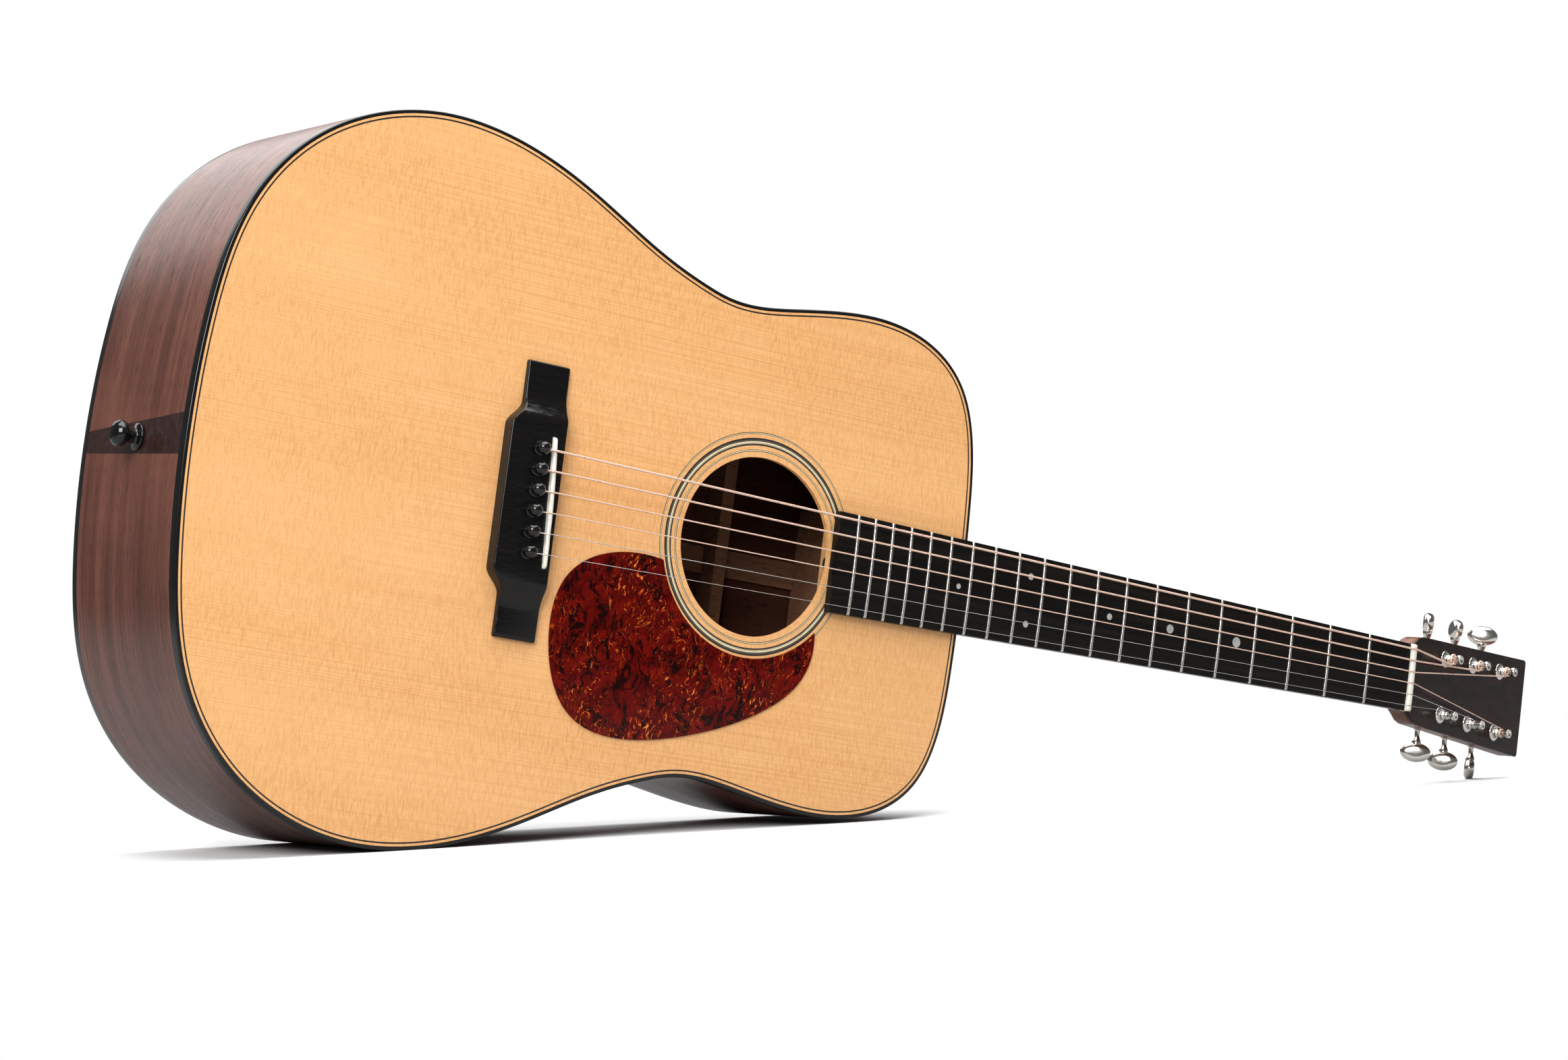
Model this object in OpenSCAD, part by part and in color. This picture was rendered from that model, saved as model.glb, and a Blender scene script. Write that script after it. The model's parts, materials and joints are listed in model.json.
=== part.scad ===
// Fourteen-fret dreadnought acoustic guitar, standing on its treble side.
// +X runs towards the headstock, +Z up through the bass side, and the
// soundboard faces -Y. Millimetres.
// Parts are drawn lying flat: x along the neck from the tail end of the
// body, y towards the bass side, z out of the soundboard's top face.

/* [Body] */
// Length of the body along its centre line
body_length = 508; // [490:1:515]
// Width across the lower bout
lower_bout_width = 396; // [380:1:400]
// Depth of the body at the tail, on the centre line
tail_depth = 124.5; // [118:0.5:128]
// Depth of the body at the neck, on the centre line
neck_depth = 101; // [98:0.5:108]
// Radius of the arch across the back
back_arch_radius = 6000; // [4500:100:9000]
// Thickness of the soundboard
top_thickness = 2.9; // [2.5:0.1:3.2]
// Thickness of the back
back_thickness = 2.6; // [2.2:0.1:3.0]
// Thickness of the sides, which is also the width of the binding
side_thickness = 2.2; // [1.9:0.1:2.4]
// Height of the binding on the side of the body
binding_height = 6; // [5:0.5:8]
// Diameter of the soundhole
soundhole_diameter = 101.6; // [98:0.2:104]
// Distance from the tail to the centre of the soundhole
soundhole_x = 358.6; // [357:0.1:360]

/* [Strings] */
// Scale length, from the nut to twice the twelfth fret
scale_length = 645.16; // [640:0.1:650]
// Spread of the strings at the nut
nut_spread = 36.4; // [35:0.1:38]
// Spread of the strings at the bridge pins
bridge_spread = 57; // [54:0.5:58]
// Height of the open strings over the first fret
action_nut = 0.4; // [0.3:0.05:0.6]
// Height of the open strings over the twelfth fret
action_12 = 2.3; // [2.1:0.1:2.6]

/* [Neck] */
// Width of the fingerboard at the nut
nut_width = 42.9; // [42:0.1:44]
// Width of the fingerboard at the twelfth fret
width_12 = 54; // [53:0.1:55]
// Thickness of the fingerboard on its centre line
board_thickness = 6.35; // [6:0.05:7]
// Radius of the fingerboard's playing surface
board_radius = 406.4; // [300:0.1:500]
// Angle of the headstock below the neck
head_angle = 16; // [13:0.5:17]
// Length of the headstock face
head_length = 150; // [148:0.5:156]
// Width across the end of the headstock
head_end_width = 65; // [64:0.5:68]
// Thickness of the headstock, with its face plate
head_thickness = 14; // [14:0.1:14.4]

/* [Tuners] */
// Number of teeth on each tuner's gear
gear_teeth = 14; // [14:1:15]
// Length of a tuner knob across its stem
knob_width = 20; // [17:0.5:21]
// Further turn of all the knobs from where they rest
knob_angle = 0; // [0:5:175]

/* [Hidden] */

// Control polygon of half the body outline, for a closed cubic B-spline,
// on a body 508 long and 396 wide
frame_length = 508;
frame_width = 396;
half_frame = [[-1, 0], [2, 63], [13, 128], [55, 180], [127, 205], [205, 188],
  [267, 153], [307, 139], [339, 131], [430, 154], [503, 126], [508, 39],
  [508, 0]];
spline_steps = 4;
frame_last = len(half_frame) - 1;
frame_scale = [body_length / frame_length, lower_bout_width / frame_width];
frame_loop = [for (i = [0 : 2 * frame_last - 1])
  let (k = i <= frame_last ? i : 2 * frame_last - i)
  [half_frame[k].x * frame_scale.x,
   half_frame[k].y * frame_scale.y * (i <= frame_last ? 1 : -1)]];

function knot(i) = frame_loop[(i + len(frame_loop)) % len(frame_loop)];
function spline_at(i, u) = (pow(1 - u, 3) * knot(i - 1)
  + (3 * pow(u, 3) - 6 * u * u + 4) * knot(i)
  + (-3 * pow(u, 3) + 3 * u * u + 3 * u + 1) * knot(i + 1)
  + pow(u, 3) * knot(i + 2)) / 6;
function spline_way(i, u) = (-pow(1 - u, 2) * knot(i - 1)
  + (3 * u * u - 4 * u) * knot(i)
  + (-3 * u * u + 2 * u + 1) * knot(i + 1) + u * u * knot(i + 2)) / 2;
// Outline of the body, moved inwards by inset
function outline(inset) = [for (i = [0 : len(frame_loop) - 1])
  for (j = [0 : spline_steps - 1])
  let (u = j / spline_steps, way = spline_way(i, u))
  spline_at(i, u) + inset * [way.y, -way.x] / norm(way)];

// Body
deep = tail_depth + 30;
side_margin = 50;
taper = atan((tail_depth - neck_depth) / body_length);
arch_fn = 1200;
lining_width = 6;
lining_height = 14;
graft_top = 22;
graft_back = 12;
purfling_inset = 3.5;
purfling_width = 0.9;
purfling_depth = 1.2;
rosette_depth = 1.0;
rosette_rings = [[53.9, 55.1], [57.4, 61.7], [63.9, 65.1]];
block_width = 80;
neck_block_length = 52;
tail_block_length = 20;
brace_gap = 0.5;
x_center = 282;
x_angle = 49;
x_width = 8;
x_height = 15.9;
lap_gap = 0.03;
tail_mid = 56;

// Bridge
bridge_front = 221;
bridge_wing = 26.2;
bridge_belly = 8.6;
bridge_half = 76;
belly_half = 41;
bridge_height = 8.6;
wing_height = 3.5;
pin_x = 204.8;
pin_head_r = 3.9;
pin_collar = 0.9;
pin_sink = 0.7;
pin_top_r = 2.65;
pin_tip_r = 2.2;
pin_length = 24;
pin_fit = 0.06;
groove_r = 0.9;
groove_rise = 0.5;
hole_offset = 0.35;
hole_room = 0.25;
ramp_room = 1;
ball_r = 1.9;
ball_length = 3.2;
saddle_x_bass = 213.4;
saddle_x_treble = 217;
saddle_width = 2.6;
saddle_length = 72;
saddle_depth = 5.5;
saddle_relief = 0.08;
bridge_plate_thickness = 2.5;

// Neck
nut_x = body_length + scale_length * (1 - pow(2, -14 / 12));
nut_thickness = 5;
fret_count = 20;
fret_height = 1.1;
fret_width = 2.1;
tang_depth = 1.6;
tang_width = 0.6;
board_end = 410.8;
board_flare = (width_12 - nut_width) / (scale_length / 2);
neck_thin = 14.2;
neck_thick = 17;
heel_reach = 62;
heel_foot = 13;
heel_bottom = 94;
heel_cap_thickness = 2.4;
tenon_length = 19;
head_z = 3.2;
plate_thickness = 2;
rod_r = 3;
rod_z = -8;
rod_room = 4.6;

// Tuners, in the headstock's own frame: u along it, y across, w out of it
post_u = [42, 78.5, 115];
post_y = [18.3, 19.4, 20.5];
post_r = 3;
post_waist_r = 2.3;
post_top = 12;
bore_fit = 0.06;
bush_r = 4.3;
mount_plate = 1;
gear_offset = 9.4;
gear_w = -20.5;
gear_thickness = 3;
gear_tip_r = 7;
gear_root_r = 5.9;
worm_core_r = 2;
worm_tip_r = 3.1;
worm_length = 9;
worm_pitch = 2 * PI * (gear_tip_r - 0.4) / gear_teeth;
worm_slices = 12;
stem_r = 1.8;
knob_y = 24.3;
knob_half = 6.5;
knob_thickness = 7;
// Turn at which each string's knob rests
knob_turn = [60, 65, -30, 120, 45, 30];
lug_y = 6.4;
lug_thickness = 1.6;

// Strings, from the first, thinnest and on the treble side, to the sixth
string_r = [0.165, 0.22, 0.33, 0.43, 0.56, 0.67];
wrap_turns = [5, 4, 3, 3, 2, 2];
// Post that each string winds on, counted from the nut
post_of = [0, 1, 2, 2, 1, 0];

function fret_x(n) = nut_x - scale_length * (1 - pow(2, -n / 12));
function board_half(x) = (nut_width + board_flare * (nut_x - x)) / 2;
function side_of(n) = n < 3 ? -1 : 1;
function spread_y(n, spread) = (n - 2.5) / 5 * spread;
// Height of a string's underside over its length
function string_low(x, y) = let (t = (nut_x - x) / (scale_length / 2))
  board_thickness + fret_height + action_nut + t * (action_12 - action_nut)
  - y * y / 2 / board_radius;
function string_y(n, x) = spread_y(n, nut_spread)
  + (nut_x - x) / (nut_x - pin_x) * spread_y(n, bridge_spread - nut_spread);
function saddle_x(y) = saddle_x_bass
  + (saddle_x_treble - saddle_x_bass) * (0.5 - y / saddle_length);

// Steps of the search for the rest angle
tilt_steps = 24;
knob_reach = post_y[2] + knob_y + knob_half;
knob_x = nut_x + nut_thickness + (post_u[2] + gear_offset) * cos(head_angle)
  + gear_w * sin(head_angle);
function bout_drop(a) = max([for (p = outline(0)) p.x * sin(a) - p.y * cos(a)]);
function knob_drop(a) = knob_x * sin(a) + knob_reach * cos(a);
// Angle at which the lower bout and the last treble knob touch the floor
function find_tilt(lo, hi, n) = let (a = (lo + hi) / 2)
  n == 0 ? a : knob_drop(a) > bout_drop(a) ? find_tilt(lo, a, n - 1)
  : find_tilt(a, hi, n - 1);
tilt = find_tilt(4, 14, tilt_steps);

// Whole guitar's extent, which puts the origin under the middle of it
end_pin_face = [15.6, 3.4];
head_corner = 1.5;
x_low = -end_pin_face[0] * cos(tilt) - end_pin_face[1] * sin(tilt);
x_high = (nut_x + nut_thickness + head_length * cos(head_angle)) * cos(tilt)
  + (head_end_width / 2 - head_corner) * sin(tilt);
y_front = bridge_height + pin_collar + 2 * pin_head_r - pin_sink;
y_back = tail_depth;
shift = [-(x_low + x_high) / 2, (y_front - y_back) / 2, bout_drop(tilt)];

// Stands the flat-drawn guitar on its side
module stand() {
  translate(shift)
    rotate([0, tilt, 0])
      rotate([90, 0, 0])
        children();
}

// Frame of the headstock's face
module on_head() {
  translate([nut_x + nut_thickness, 0, head_z])
    rotate([0, head_angle, 0])
      children();
}

// Slab wider than the body between two heights
module layer(low, high) {
  translate([-side_margin, -lower_bout_width, low])
    cube([body_length + 2 * side_margin, 2 * lower_bout_width, high - low]);
}

// Solid prism of the body outline, inset, from the floor to z = top
module body_prism(inset, top = 0) {
  translate([0, 0, -deep])
    linear_extrude(deep + top)
      polygon(outline(inset));
}

// Wall that follows the outline between two insets
module body_wall(outer, inner, top = 0) {
  translate([0, 0, -deep])
    linear_extrude(deep + top)
      difference() {
        polygon(outline(outer));
        polygon(outline(inner));
      }
}

// Stretch of wall between two numbered points of the outline
module wall_stretch(first, last, thickness, top) {
  outer = outline(0);
  inner = outline(thickness);
  m = len(outer);
  translate([0, 0, -deep])
    linear_extrude(deep + top)
      polygon(concat([for (i = [first : last]) outer[(i + m) % m]],
        [for (i = [last : -1 : first]) inner[(i + m) % m]]));
}

// Everything above the back's outer face, raised by gap
module above_back(gap) {
  translate([-20, 0, -tail_depth + 20 * tan(-taper)])
    rotate([0, 90 - taper, 0])
      translate([-back_arch_radius, 0, 0])
        cylinder(r = back_arch_radius - gap, h = body_length + 60, $fn = arch_fn);
}

// Slab along the back between two heights over its outer face
module back_layer(low, high) {
  difference() {
    above_back(low);
    above_back(high);
  }
}

module graft_wedge() {
  rotate([90, 0, -90])
    translate([0, 0, -10])
      linear_extrude(20)
        polygon([[-graft_top / 2, 0], [graft_top / 2, 0],
          [graft_back / 2, -deep], [-graft_back / 2, -deep]]);
}

module neck_block_space() {
  translate([body_length - neck_block_length, -block_width / 2, -deep])
    cube([neck_block_length + 10, block_width, deep]);
}

module tail_block_space() {
  translate([-10, -block_width / 2, -deep])
    cube([tail_block_length + 10, block_width, deep]);
}

// Dovetail that joins the neck to its block
module tenon(gap) {
  translate([body_length, 0, -neck_depth + 25 - gap])
    linear_extrude(neck_depth - 25 - top_thickness + gap)
      polygon([[1, -11 - gap], [1, 11 + gap],
        [-tenon_length - gap, 15 + gap], [-tenon_length - gap, -15 - gap]]);
}

module pin_bore(n, gap) {
  translate([pin_x, spread_y(n, bridge_spread), bridge_height - pin_length])
    cylinder(r1 = pin_tip_r + gap, r2 = pin_top_r + gap, h = pin_length, $fn = 48);
}

module end_pin_bore(gap) {
  translate([-1, 0, -tail_mid])
    rotate([0, 90, 0])
      cylinder(r = 5.9 + gap, h = 40, $fn = 48);
}

module rosette_ring(ring, extra) {
  translate([soundhole_x, 0, -rosette_depth])
    difference() {
      cylinder(r = ring[1], h = rosette_depth + extra, $fn = 180);
      translate([0, 0, -1])
        cylinder(r = ring[0], h = rosette_depth + extra + 2, $fn = 180);
    }
}

module soundboard() {
  color("burlywood")
    difference() {
      intersection() {
        body_prism(side_thickness);
        layer(-top_thickness, 0);
      }
      intersection() {
        body_wall(purfling_inset, purfling_inset + purfling_width, 1);
        layer(-purfling_depth, 2);
      }
      for (ring = rosette_rings)
        rosette_ring(ring, 1);
      translate([soundhole_x, 0, -9])
        cylinder(d = soundhole_diameter, h = 18, $fn = 180);
      for (n = [0 : 5])
        pin_bore(n, pin_fit);
      for (n = [0 : 5])
        string_hole(n);
    }
}

module back_plate() {
  color("saddlebrown")
    intersection() {
      body_prism(side_thickness);
      back_layer(0, back_thickness);
    }
}

// One side, from the tail's middle round to the neck's
module bent_side(first, last) {
  difference() {
    intersection() {
      wall_stretch(first, last, side_thickness, -binding_height);
      above_back(binding_height);
    }
    graft_wedge();
    tenon(0);
  }
}

half_points = frame_last * spline_steps;

module side_bass() {
  color("saddlebrown")
    bent_side(0, half_points);
}

module side_treble() {
  color("saddlebrown")
    bent_side(half_points, 2 * half_points);
}

module end_graft() {
  color("black")
    difference() {
      intersection() {
        wall_stretch(-3, 3, side_thickness, -binding_height);
        above_back(binding_height);
        graft_wedge();
      }
      end_pin_bore(bore_fit);
    }
}

module neck_block() {
  color("peru")
    difference() {
      intersection() {
        body_prism(side_thickness, -top_thickness);
        neck_block_space();
        above_back(back_thickness);
      }
      tenon(0);
      truss_channel(rod_room);
    }
}

module tail_block() {
  color("peru")
    difference() {
      intersection() {
        body_prism(side_thickness, -top_thickness);
        tail_block_space();
        above_back(back_thickness);
      }
      end_pin_bore(bore_fit);
    }
}

module lining_top() {
  color("tan")
    difference() {
      intersection() {
        body_wall(side_thickness, side_thickness + lining_width, -top_thickness);
        layer(-top_thickness - lining_height, -top_thickness);
      }
      neck_block_space();
      tail_block_space();
    }
}

module lining_back() {
  color("tan")
    difference() {
      intersection() {
        body_wall(side_thickness, side_thickness + lining_width);
        back_layer(back_thickness, back_thickness + lining_height);
      }
      neck_block_space();
      tail_block_space();
    }
}

// Room inside the linings, where the braces end
module brace_room() {
  body_prism(side_thickness + lining_width + brace_gap, -top_thickness);
}

// One bar under the soundboard, tall in its middle and low at its ends
module top_bar(at, angle, reach, width, height) {
  low = height * 0.25;
  translate([at.x, at.y, -top_thickness])
    rotate([0, 0, angle])
      rotate([90, 0, 0])
        translate([0, 0, -width / 2])
          linear_extrude(width)
            polygon([[-reach, 0], [reach, 0], [reach, -low],
              [reach * 0.55, -height * 0.8], [reach * 0.2, -height],
              [-reach * 0.2, -height], [-reach * 0.55, -height * 0.8],
              [-reach, -low]]);
}

module x_bar(side) {
  top_bar([x_center, 0], side * x_angle, 236, x_width, x_height);
}

module x_lap(side, low, high) {
  translate([x_center, 0, 0])
    rotate([0, 0, side * x_angle])
      translate([-50, -x_width / 2 - lap_gap, -top_thickness - x_height * high])
        cube([100, x_width + 2 * lap_gap, x_height * (high - low)]);
}

module x_brace() {
  color("wheat")
    intersection() {
      brace_room();
      difference() {
        x_bar(1);
        x_lap(-1, -0.1, 0.502);
      }
    }
  color("wheat")
    intersection() {
      brace_room();
      difference() {
        x_bar(-1);
        x_lap(1, 0.498, 1.1);
      }
    }
}

module tone_bars() {
  color("wheat")
    intersection() {
      brace_room();
      union() {
        top_bar([128, 12], 62, 88, 7, 12);
        top_bar([74, 22], 62, 78, 7, 11);
      }
    }
}

module finger_braces() {
  color("wheat")
    intersection() {
      brace_room();
      for (side = [-1, 1]) {
        top_bar([252, side * 118], side * 50, 36, 6, 9);
        top_bar([208, side * 154], side * 50, 27, 6, 9);
      }
    }
}

module transverse_brace() {
  color("wheat")
    difference() {
      intersection() {
        brace_room();
        top_bar([424, 0], 90, 140, 12, 17);
      }
      truss_channel(5.5);
    }
}

module back_brace_space(x, width, height) {
  intersection() {
    translate([x - width / 2, -300, -deep])
      cube([width, 600, deep]);
    back_layer(back_thickness, back_thickness + height);
  }
}

back_bars = [[90, 19, 8], [185, 19, 8], [290, 8, 15], [395, 8, 15]];

module back_braces() {
  color("wheat")
    intersection() {
      brace_room();
      for (bar = back_bars)
        back_brace_space(bar[0], bar[1], bar[2]);
    }
}

module back_center_strip() {
  color("wheat")
    difference() {
      intersection() {
        translate([tail_block_length + brace_gap, -8, -deep])
          cube([body_length - neck_block_length - tail_block_length - 1, 16, deep]);
        back_layer(back_thickness, back_thickness + 2);
      }
      for (bar = back_bars)
        translate([bar[0] - bar[1] / 2 - 0.1, -20, -deep])
          cube([bar[1] + 0.2, 40, deep]);
    }
}

module bridge_plate() {
  color("tan")
    difference() {
      translate([0, 0, -top_thickness - bridge_plate_thickness])
        linear_extrude(bridge_plate_thickness)
          polygon([[190, -82], [232, -44], [232, 44], [190, 82]]);
      for (n = [0 : 5])
        pin_bore(n, pin_fit);
      for (n = [0 : 5])
        string_hole(n);
      for (side = [-1, 1])
        translate([x_center, 0, -20])
          rotate([0, 0, side * x_angle])
            translate([-150, -x_width / 2 - 0.2, 0])
              cube([300, x_width + 0.4, 40]);
    }
}

module binding_top() {
  color("black")
    difference() {
      intersection() {
        body_wall(0, side_thickness);
        layer(-binding_height, 0);
      }
      tenon(0);
      truss_channel(rod_room);
    }
}

module binding_back() {
  color("black")
    intersection() {
      body_wall(0, side_thickness);
      back_layer(0, binding_height);
    }
}

module purfling() {
  color("dimgray")
    intersection() {
      body_wall(purfling_inset, purfling_inset + purfling_width);
      layer(-purfling_depth, 0);
    }
}

module rosette() {
  color("dimgray")
    for (ring = rosette_rings)
      rosette_ring(ring, 0);
}

guard_thickness = 0.8;
guard_hug_r = 63.2;
// Control polygon of the pickguard's outline, a closed cubic B-spline
guard_frame = [[289, -10], [237, -25], [226, -63], [241, -119], [304, -124],
  [422, -78], [396, -4], [359, -35]];
function guard_knot(i) = guard_frame[(i + len(guard_frame)) % len(guard_frame)];
guard_edge = [for (i = [0 : len(guard_frame) - 1]) for (j = [0 : 5])
  let (u = j / 6) (pow(1 - u, 3) * guard_knot(i - 1)
    + (3 * pow(u, 3) - 6 * u * u + 4) * guard_knot(i)
    + (-3 * pow(u, 3) + 3 * u * u + 3 * u + 1) * guard_knot(i + 1)
    + pow(u, 3) * guard_knot(i + 2)) / 6];

module pickguard() {
  color("sienna")
    difference() {
      linear_extrude(guard_thickness)
        polygon(guard_edge);
      translate([soundhole_x, 0, -1])
        cylinder(r = guard_hug_r, h = 4, $fn = 180);
    }
}

// Way for a string beside its pin, down through bridge, top and plate
module string_hole(n) {
  y = spread_y(n, bridge_spread);
  translate([pin_x + pin_top_r - groove_r + hole_offset, y, -12])
    cylinder(r = string_r[n] + hole_room, h = 30, $fn = 24);
}

module bridge_outline() {
  wing_x = bridge_front - bridge_wing;
  belly_x = bridge_front - bridge_wing - bridge_belly;
  polygon(concat(
    [[bridge_front, -bridge_half], [bridge_front, bridge_half],
     [wing_x, bridge_half], [wing_x, belly_half + 12]],
    [for (t = [0 : 0.125 : 1]) [wing_x - bridge_belly * (1 - cos(180 * t)) / 2,
      belly_half + 12 - 14 * t]],
    [[belly_x, 0]],
    [for (t = [1 : -0.125 : 0]) [wing_x - bridge_belly * (1 - cos(180 * t)) / 2,
      -belly_half - 12 + 14 * t]],
    [[wing_x, -belly_half - 12], [wing_x, -bridge_half]]));
}

// Side view of the bridge, along the strings: tall middle and thin wings
module bridge_profile() {
  rise = bridge_height - wing_height;
  shoulder = 46;
  scoop = 14;
  half = concat(
    [for (t = [0 : 0.1 : 1]) [shoulder + scoop * t,
      wing_height + rise * (1 - sin(90 * t))]],
    [[bridge_half, wing_height - 0.4]]);
  polygon(concat([[-bridge_half, 0], [bridge_half, 0]],
    [for (i = [len(half) - 1 : -1 : 0]) half[i]],
    [for (p = half) [-p.x, p.y]]));
}

module saddle_box(gap, low, high) {
  angle = atan((saddle_x_treble - saddle_x_bass) / saddle_length);
  translate([(saddle_x_bass + saddle_x_treble) / 2, 0, low])
    rotate([0, 0, angle])
      translate([-saddle_width / 2 - gap, -saddle_length / 2 - gap, 0])
        cube([saddle_width + 2 * gap, saddle_length + 2 * gap, high - low]);
}

module bridge() {
  color("black")
    difference() {
      intersection() {
        linear_extrude(bridge_height + 1)
          bridge_outline();
        translate([bridge_front - 60, 0, 0])
          rotate([90, 0, 90])
            linear_extrude(80)
              bridge_profile();
      }
      saddle_box(0, bridge_height - saddle_depth, bridge_height + 5);
      for (n = [0 : 5])
        pin_bore(n, pin_fit);
      for (n = [0 : 5])
        string_hole(n);
      for (n = [0 : 5])
        string_ramp(n);
    }
}

// Notch that lets a string leave its hole towards the saddle
module string_ramp(n) {
  y = spread_y(n, bridge_spread);
  x = pin_x + pin_top_r - groove_r + hole_offset;
  translate([x + 0.1, y, bridge_height - 2.8])
    rotate([0, 56, 0])
      cylinder(r = string_r[n] + ramp_room, h = 9, $fn = 24);
}

module saddle() {
  color("ivory")
    difference() {
      saddle_box(0, bridge_height - saddle_depth, bridge_height + 3.4);
      saddle_crown();
    }
}

// Trims the saddle's top to the arch of the strings
module saddle_crown() {
  top_z = string_low(saddle_x(0), 0) - saddle_relief;
  translate([150, 0, top_z - board_radius])
    rotate([0, 90, 0])
      difference() {
        translate([-board_radius - 20, -60, 0])
          cube([30, 120, 120]);
        translate([0, 0, -1])
          cylinder(r = board_radius, h = 122, $fn = 720);
      }
}

module truss_channel(r) {
  translate([402, 0, rod_z])
    rotate([0, 90, 0])
      cylinder(r = r, h = nut_x - 402 - 18, $fn = 48);
}

// Half section of the neck: flat on top, rounded below
function neck_section(x, half, thick) = [for (k = [0 : 16])
  let (a = 180 * k / 16)
  [x, half * cos(a), -thick * pow(sin(a), 0.82)]];

// Closed skin over a row of sections with the same number of points
module loft(sections) {
  m = len(sections[0]);
  last = len(sections) - 1;
  points = [for (s = sections) for (p = s) p];
  sides = [for (i = [0 : last - 1]) for (j = [0 : m - 1])
    let (k = (j + 1) % m)
    each [[(i + 1) * m + k, (i + 1) * m + j, i * m + j],
          [i * m + k, (i + 1) * m + k, i * m + j]]];
  first_cap = [[for (j = [m - 1 : -1 : 0]) j]];
  last_cap = [[for (j = [0 : m - 1]) last * m + j]];
  polyhedron(points, concat(sides, first_cap, last_cap), 10);
}

neck_stations = 9;
module neck_shaft() {
  start = body_length;
  stop = nut_x + nut_thickness - 4;
  loft([for (i = [0 : neck_stations])
    let (t = i / neck_stations, x = start + (stop - start) * t)
    neck_section(x, board_half(x), neck_thick + (neck_thin - neck_thick) * t)]);
}

// Level sections of the heel, from the neck down to its cap
module neck_heel() {
  rings = 10;
  loft([for (i = [0 : rings])
    let (t = i / rings, z = -2 - (heel_bottom - 2) * t,
      reach = heel_foot + (heel_reach - heel_foot) * pow(1 - t, 2.6),
      half = board_half(body_length) * (1 - 0.5 * pow(t, 1.3)))
    concat([for (k = [0 : 14]) let (a = -90 + 180 * k / 14)
      [body_length + reach * cos(a), half * sin(a), z]])]);
}

// Outline of the headstock on its face
head_plan_half = [[-1, 21.5], [1.5, 22.4], [4.5, 24.6], [8, 26.8], [13, 28.3]];
module head_outline() {
  end_half = head_end_width / 2;
  half = concat(head_plan_half, [[head_length - head_corner, end_half],
    [head_length, end_half - head_corner]]);
  polygon(concat(half, [for (i = [len(half) - 1 : -1 : 0]) [half[i].x, -half[i].y]]));
}

module head_wood() {
  on_head()
    translate([0, 0, -head_thickness])
      linear_extrude(head_thickness - plate_thickness)
        head_outline();
}

// The knee starts this far inside the back of the headstock wood
knee_inset = 0.3;
// Its top lies this far below the headplate, so that it clears the fingerboard
knee_drop = 1.2;

// Thickened back of the neck where it meets the headstock
module head_knee() {
  x = nut_x + nut_thickness;
  hull() {
    loft([neck_section(x - 26, board_half(x - 26), neck_thin),
      neck_section(x - 24, board_half(x - 24), neck_thin)]);
    on_head()
      translate([2.3, 0, knee_inset - head_thickness])
        linear_extrude(head_thickness - plate_thickness - knee_inset - knee_drop)
          polygon([[0, -22.2], [3, -23], [11, -15], [11, 15], [3, 23], [0, 22.2]]);
  }
}

module post_at(i, side) {
  on_head()
    translate([post_u[i], side * post_y[i], 0])
      children();
}

module neck() {
  color("sienna")
    difference() {
      union() {
        neck_shaft();
        neck_heel();
        tenon(-0.15);
        head_wood();
        head_knee();
      }
      truss_channel(rod_r);
      translate([nut_x - 0.5, -40, 0])
        cube([nut_thickness + 0.5, 80, 12]);
      for (side = [-1, 1])
        for (i = [0 : 2])
          post_at(i, side)
            translate([0, 0, -head_thickness - 5])
              cylinder(r = bush_r, h = head_thickness + 8, $fn = 48);
      tuner_screw_holes();
    }
}

module heel_cap() {
  color("black")
    translate([body_length, 0, -heel_bottom - heel_cap_thickness])
      linear_extrude(heel_cap_thickness)
        polygon([for (k = [0 : 14]) let (a = -90 + 180 * k / 14)
          [heel_foot * cos(a), board_half(body_length) / 2 * sin(a)]]);
}

module truss_rod() {
  color("silver")
    translate([429, 0, rod_z])
      rotate([0, 90, 0])
        cylinder(r = rod_r, h = nut_x - 429 - 20, $fn = 32);
}

module truss_rod_nut() {
  color("silver")
    difference() {
      translate([414, 0, rod_z])
        rotate([0, 90, 0])
          cylinder(r = 3.8, h = 14.7, $fn = 32);
      translate([413, 0, rod_z])
        rotate([0, 90, 0])
          cylinder(r = 2.8, h = 9, $fn = 6);
    }
}

module fingerboard() {
  color("black")
    difference() {
      intersection() {
        linear_extrude(board_thickness + 1)
          polygon([[board_end, -board_half(board_end)], [nut_x, -board_half(nut_x)],
            [nut_x, board_half(nut_x)], [board_end, board_half(board_end)]]);
        board_arch(board_thickness);
      }
      for (n = [1 : fret_count])
        fret_ring(n, tang_profile, 1);
      for (dot = board_dots)
        translate([dot[0], dot[1], board_thickness - dot_depth])
          cylinder(d = dot[2], h = 3, $fn = 96);
      for (x = side_dot_x)
        side_dot(x);
    }
}

// Cylinder whose top line is at height z along the neck
module board_arch(z) {
  translate([board_end - 60, 0, z - board_radius])
    rotate([0, 90, 0])
      cylinder(r = board_radius, h = nut_x - board_end + 120, $fn = 720);
}

// Ring segment across the board from a profile of [height, half-width] rows
module fret_ring(n, profile, extra) {
  half = board_half(fret_x(n)) + extra;
  turn = 2 * asin(half / board_radius);
  base = board_radius - board_thickness;
  translate([fret_x(n), 0, -base])
    rotate([0, 90, 0])
      rotate([0, 0, 180 - turn / 2])
        rotate_extrude(angle = turn, $fn = 720)
          polygon(concat([for (p = profile) [base + p.x, -p.y]],
            [for (i = [len(profile) - 1 : -1 : 0])
              [base + profile[i].x, profile[i].y]]));
}

tang_profile = [[board_thickness - tang_depth, tang_width / 2],
  [board_thickness + 1, tang_width / 2]];
crown_steps = 5;
fret_profile = concat([[board_thickness - tang_depth, tang_width / 2],
  [board_thickness, tang_width / 2]],
  [for (k = [0 : crown_steps]) let (a = 78 * k / crown_steps)
    [board_thickness + fret_height * sin(a) / sin(78), fret_width / 2 * cos(a)]]);

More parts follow.
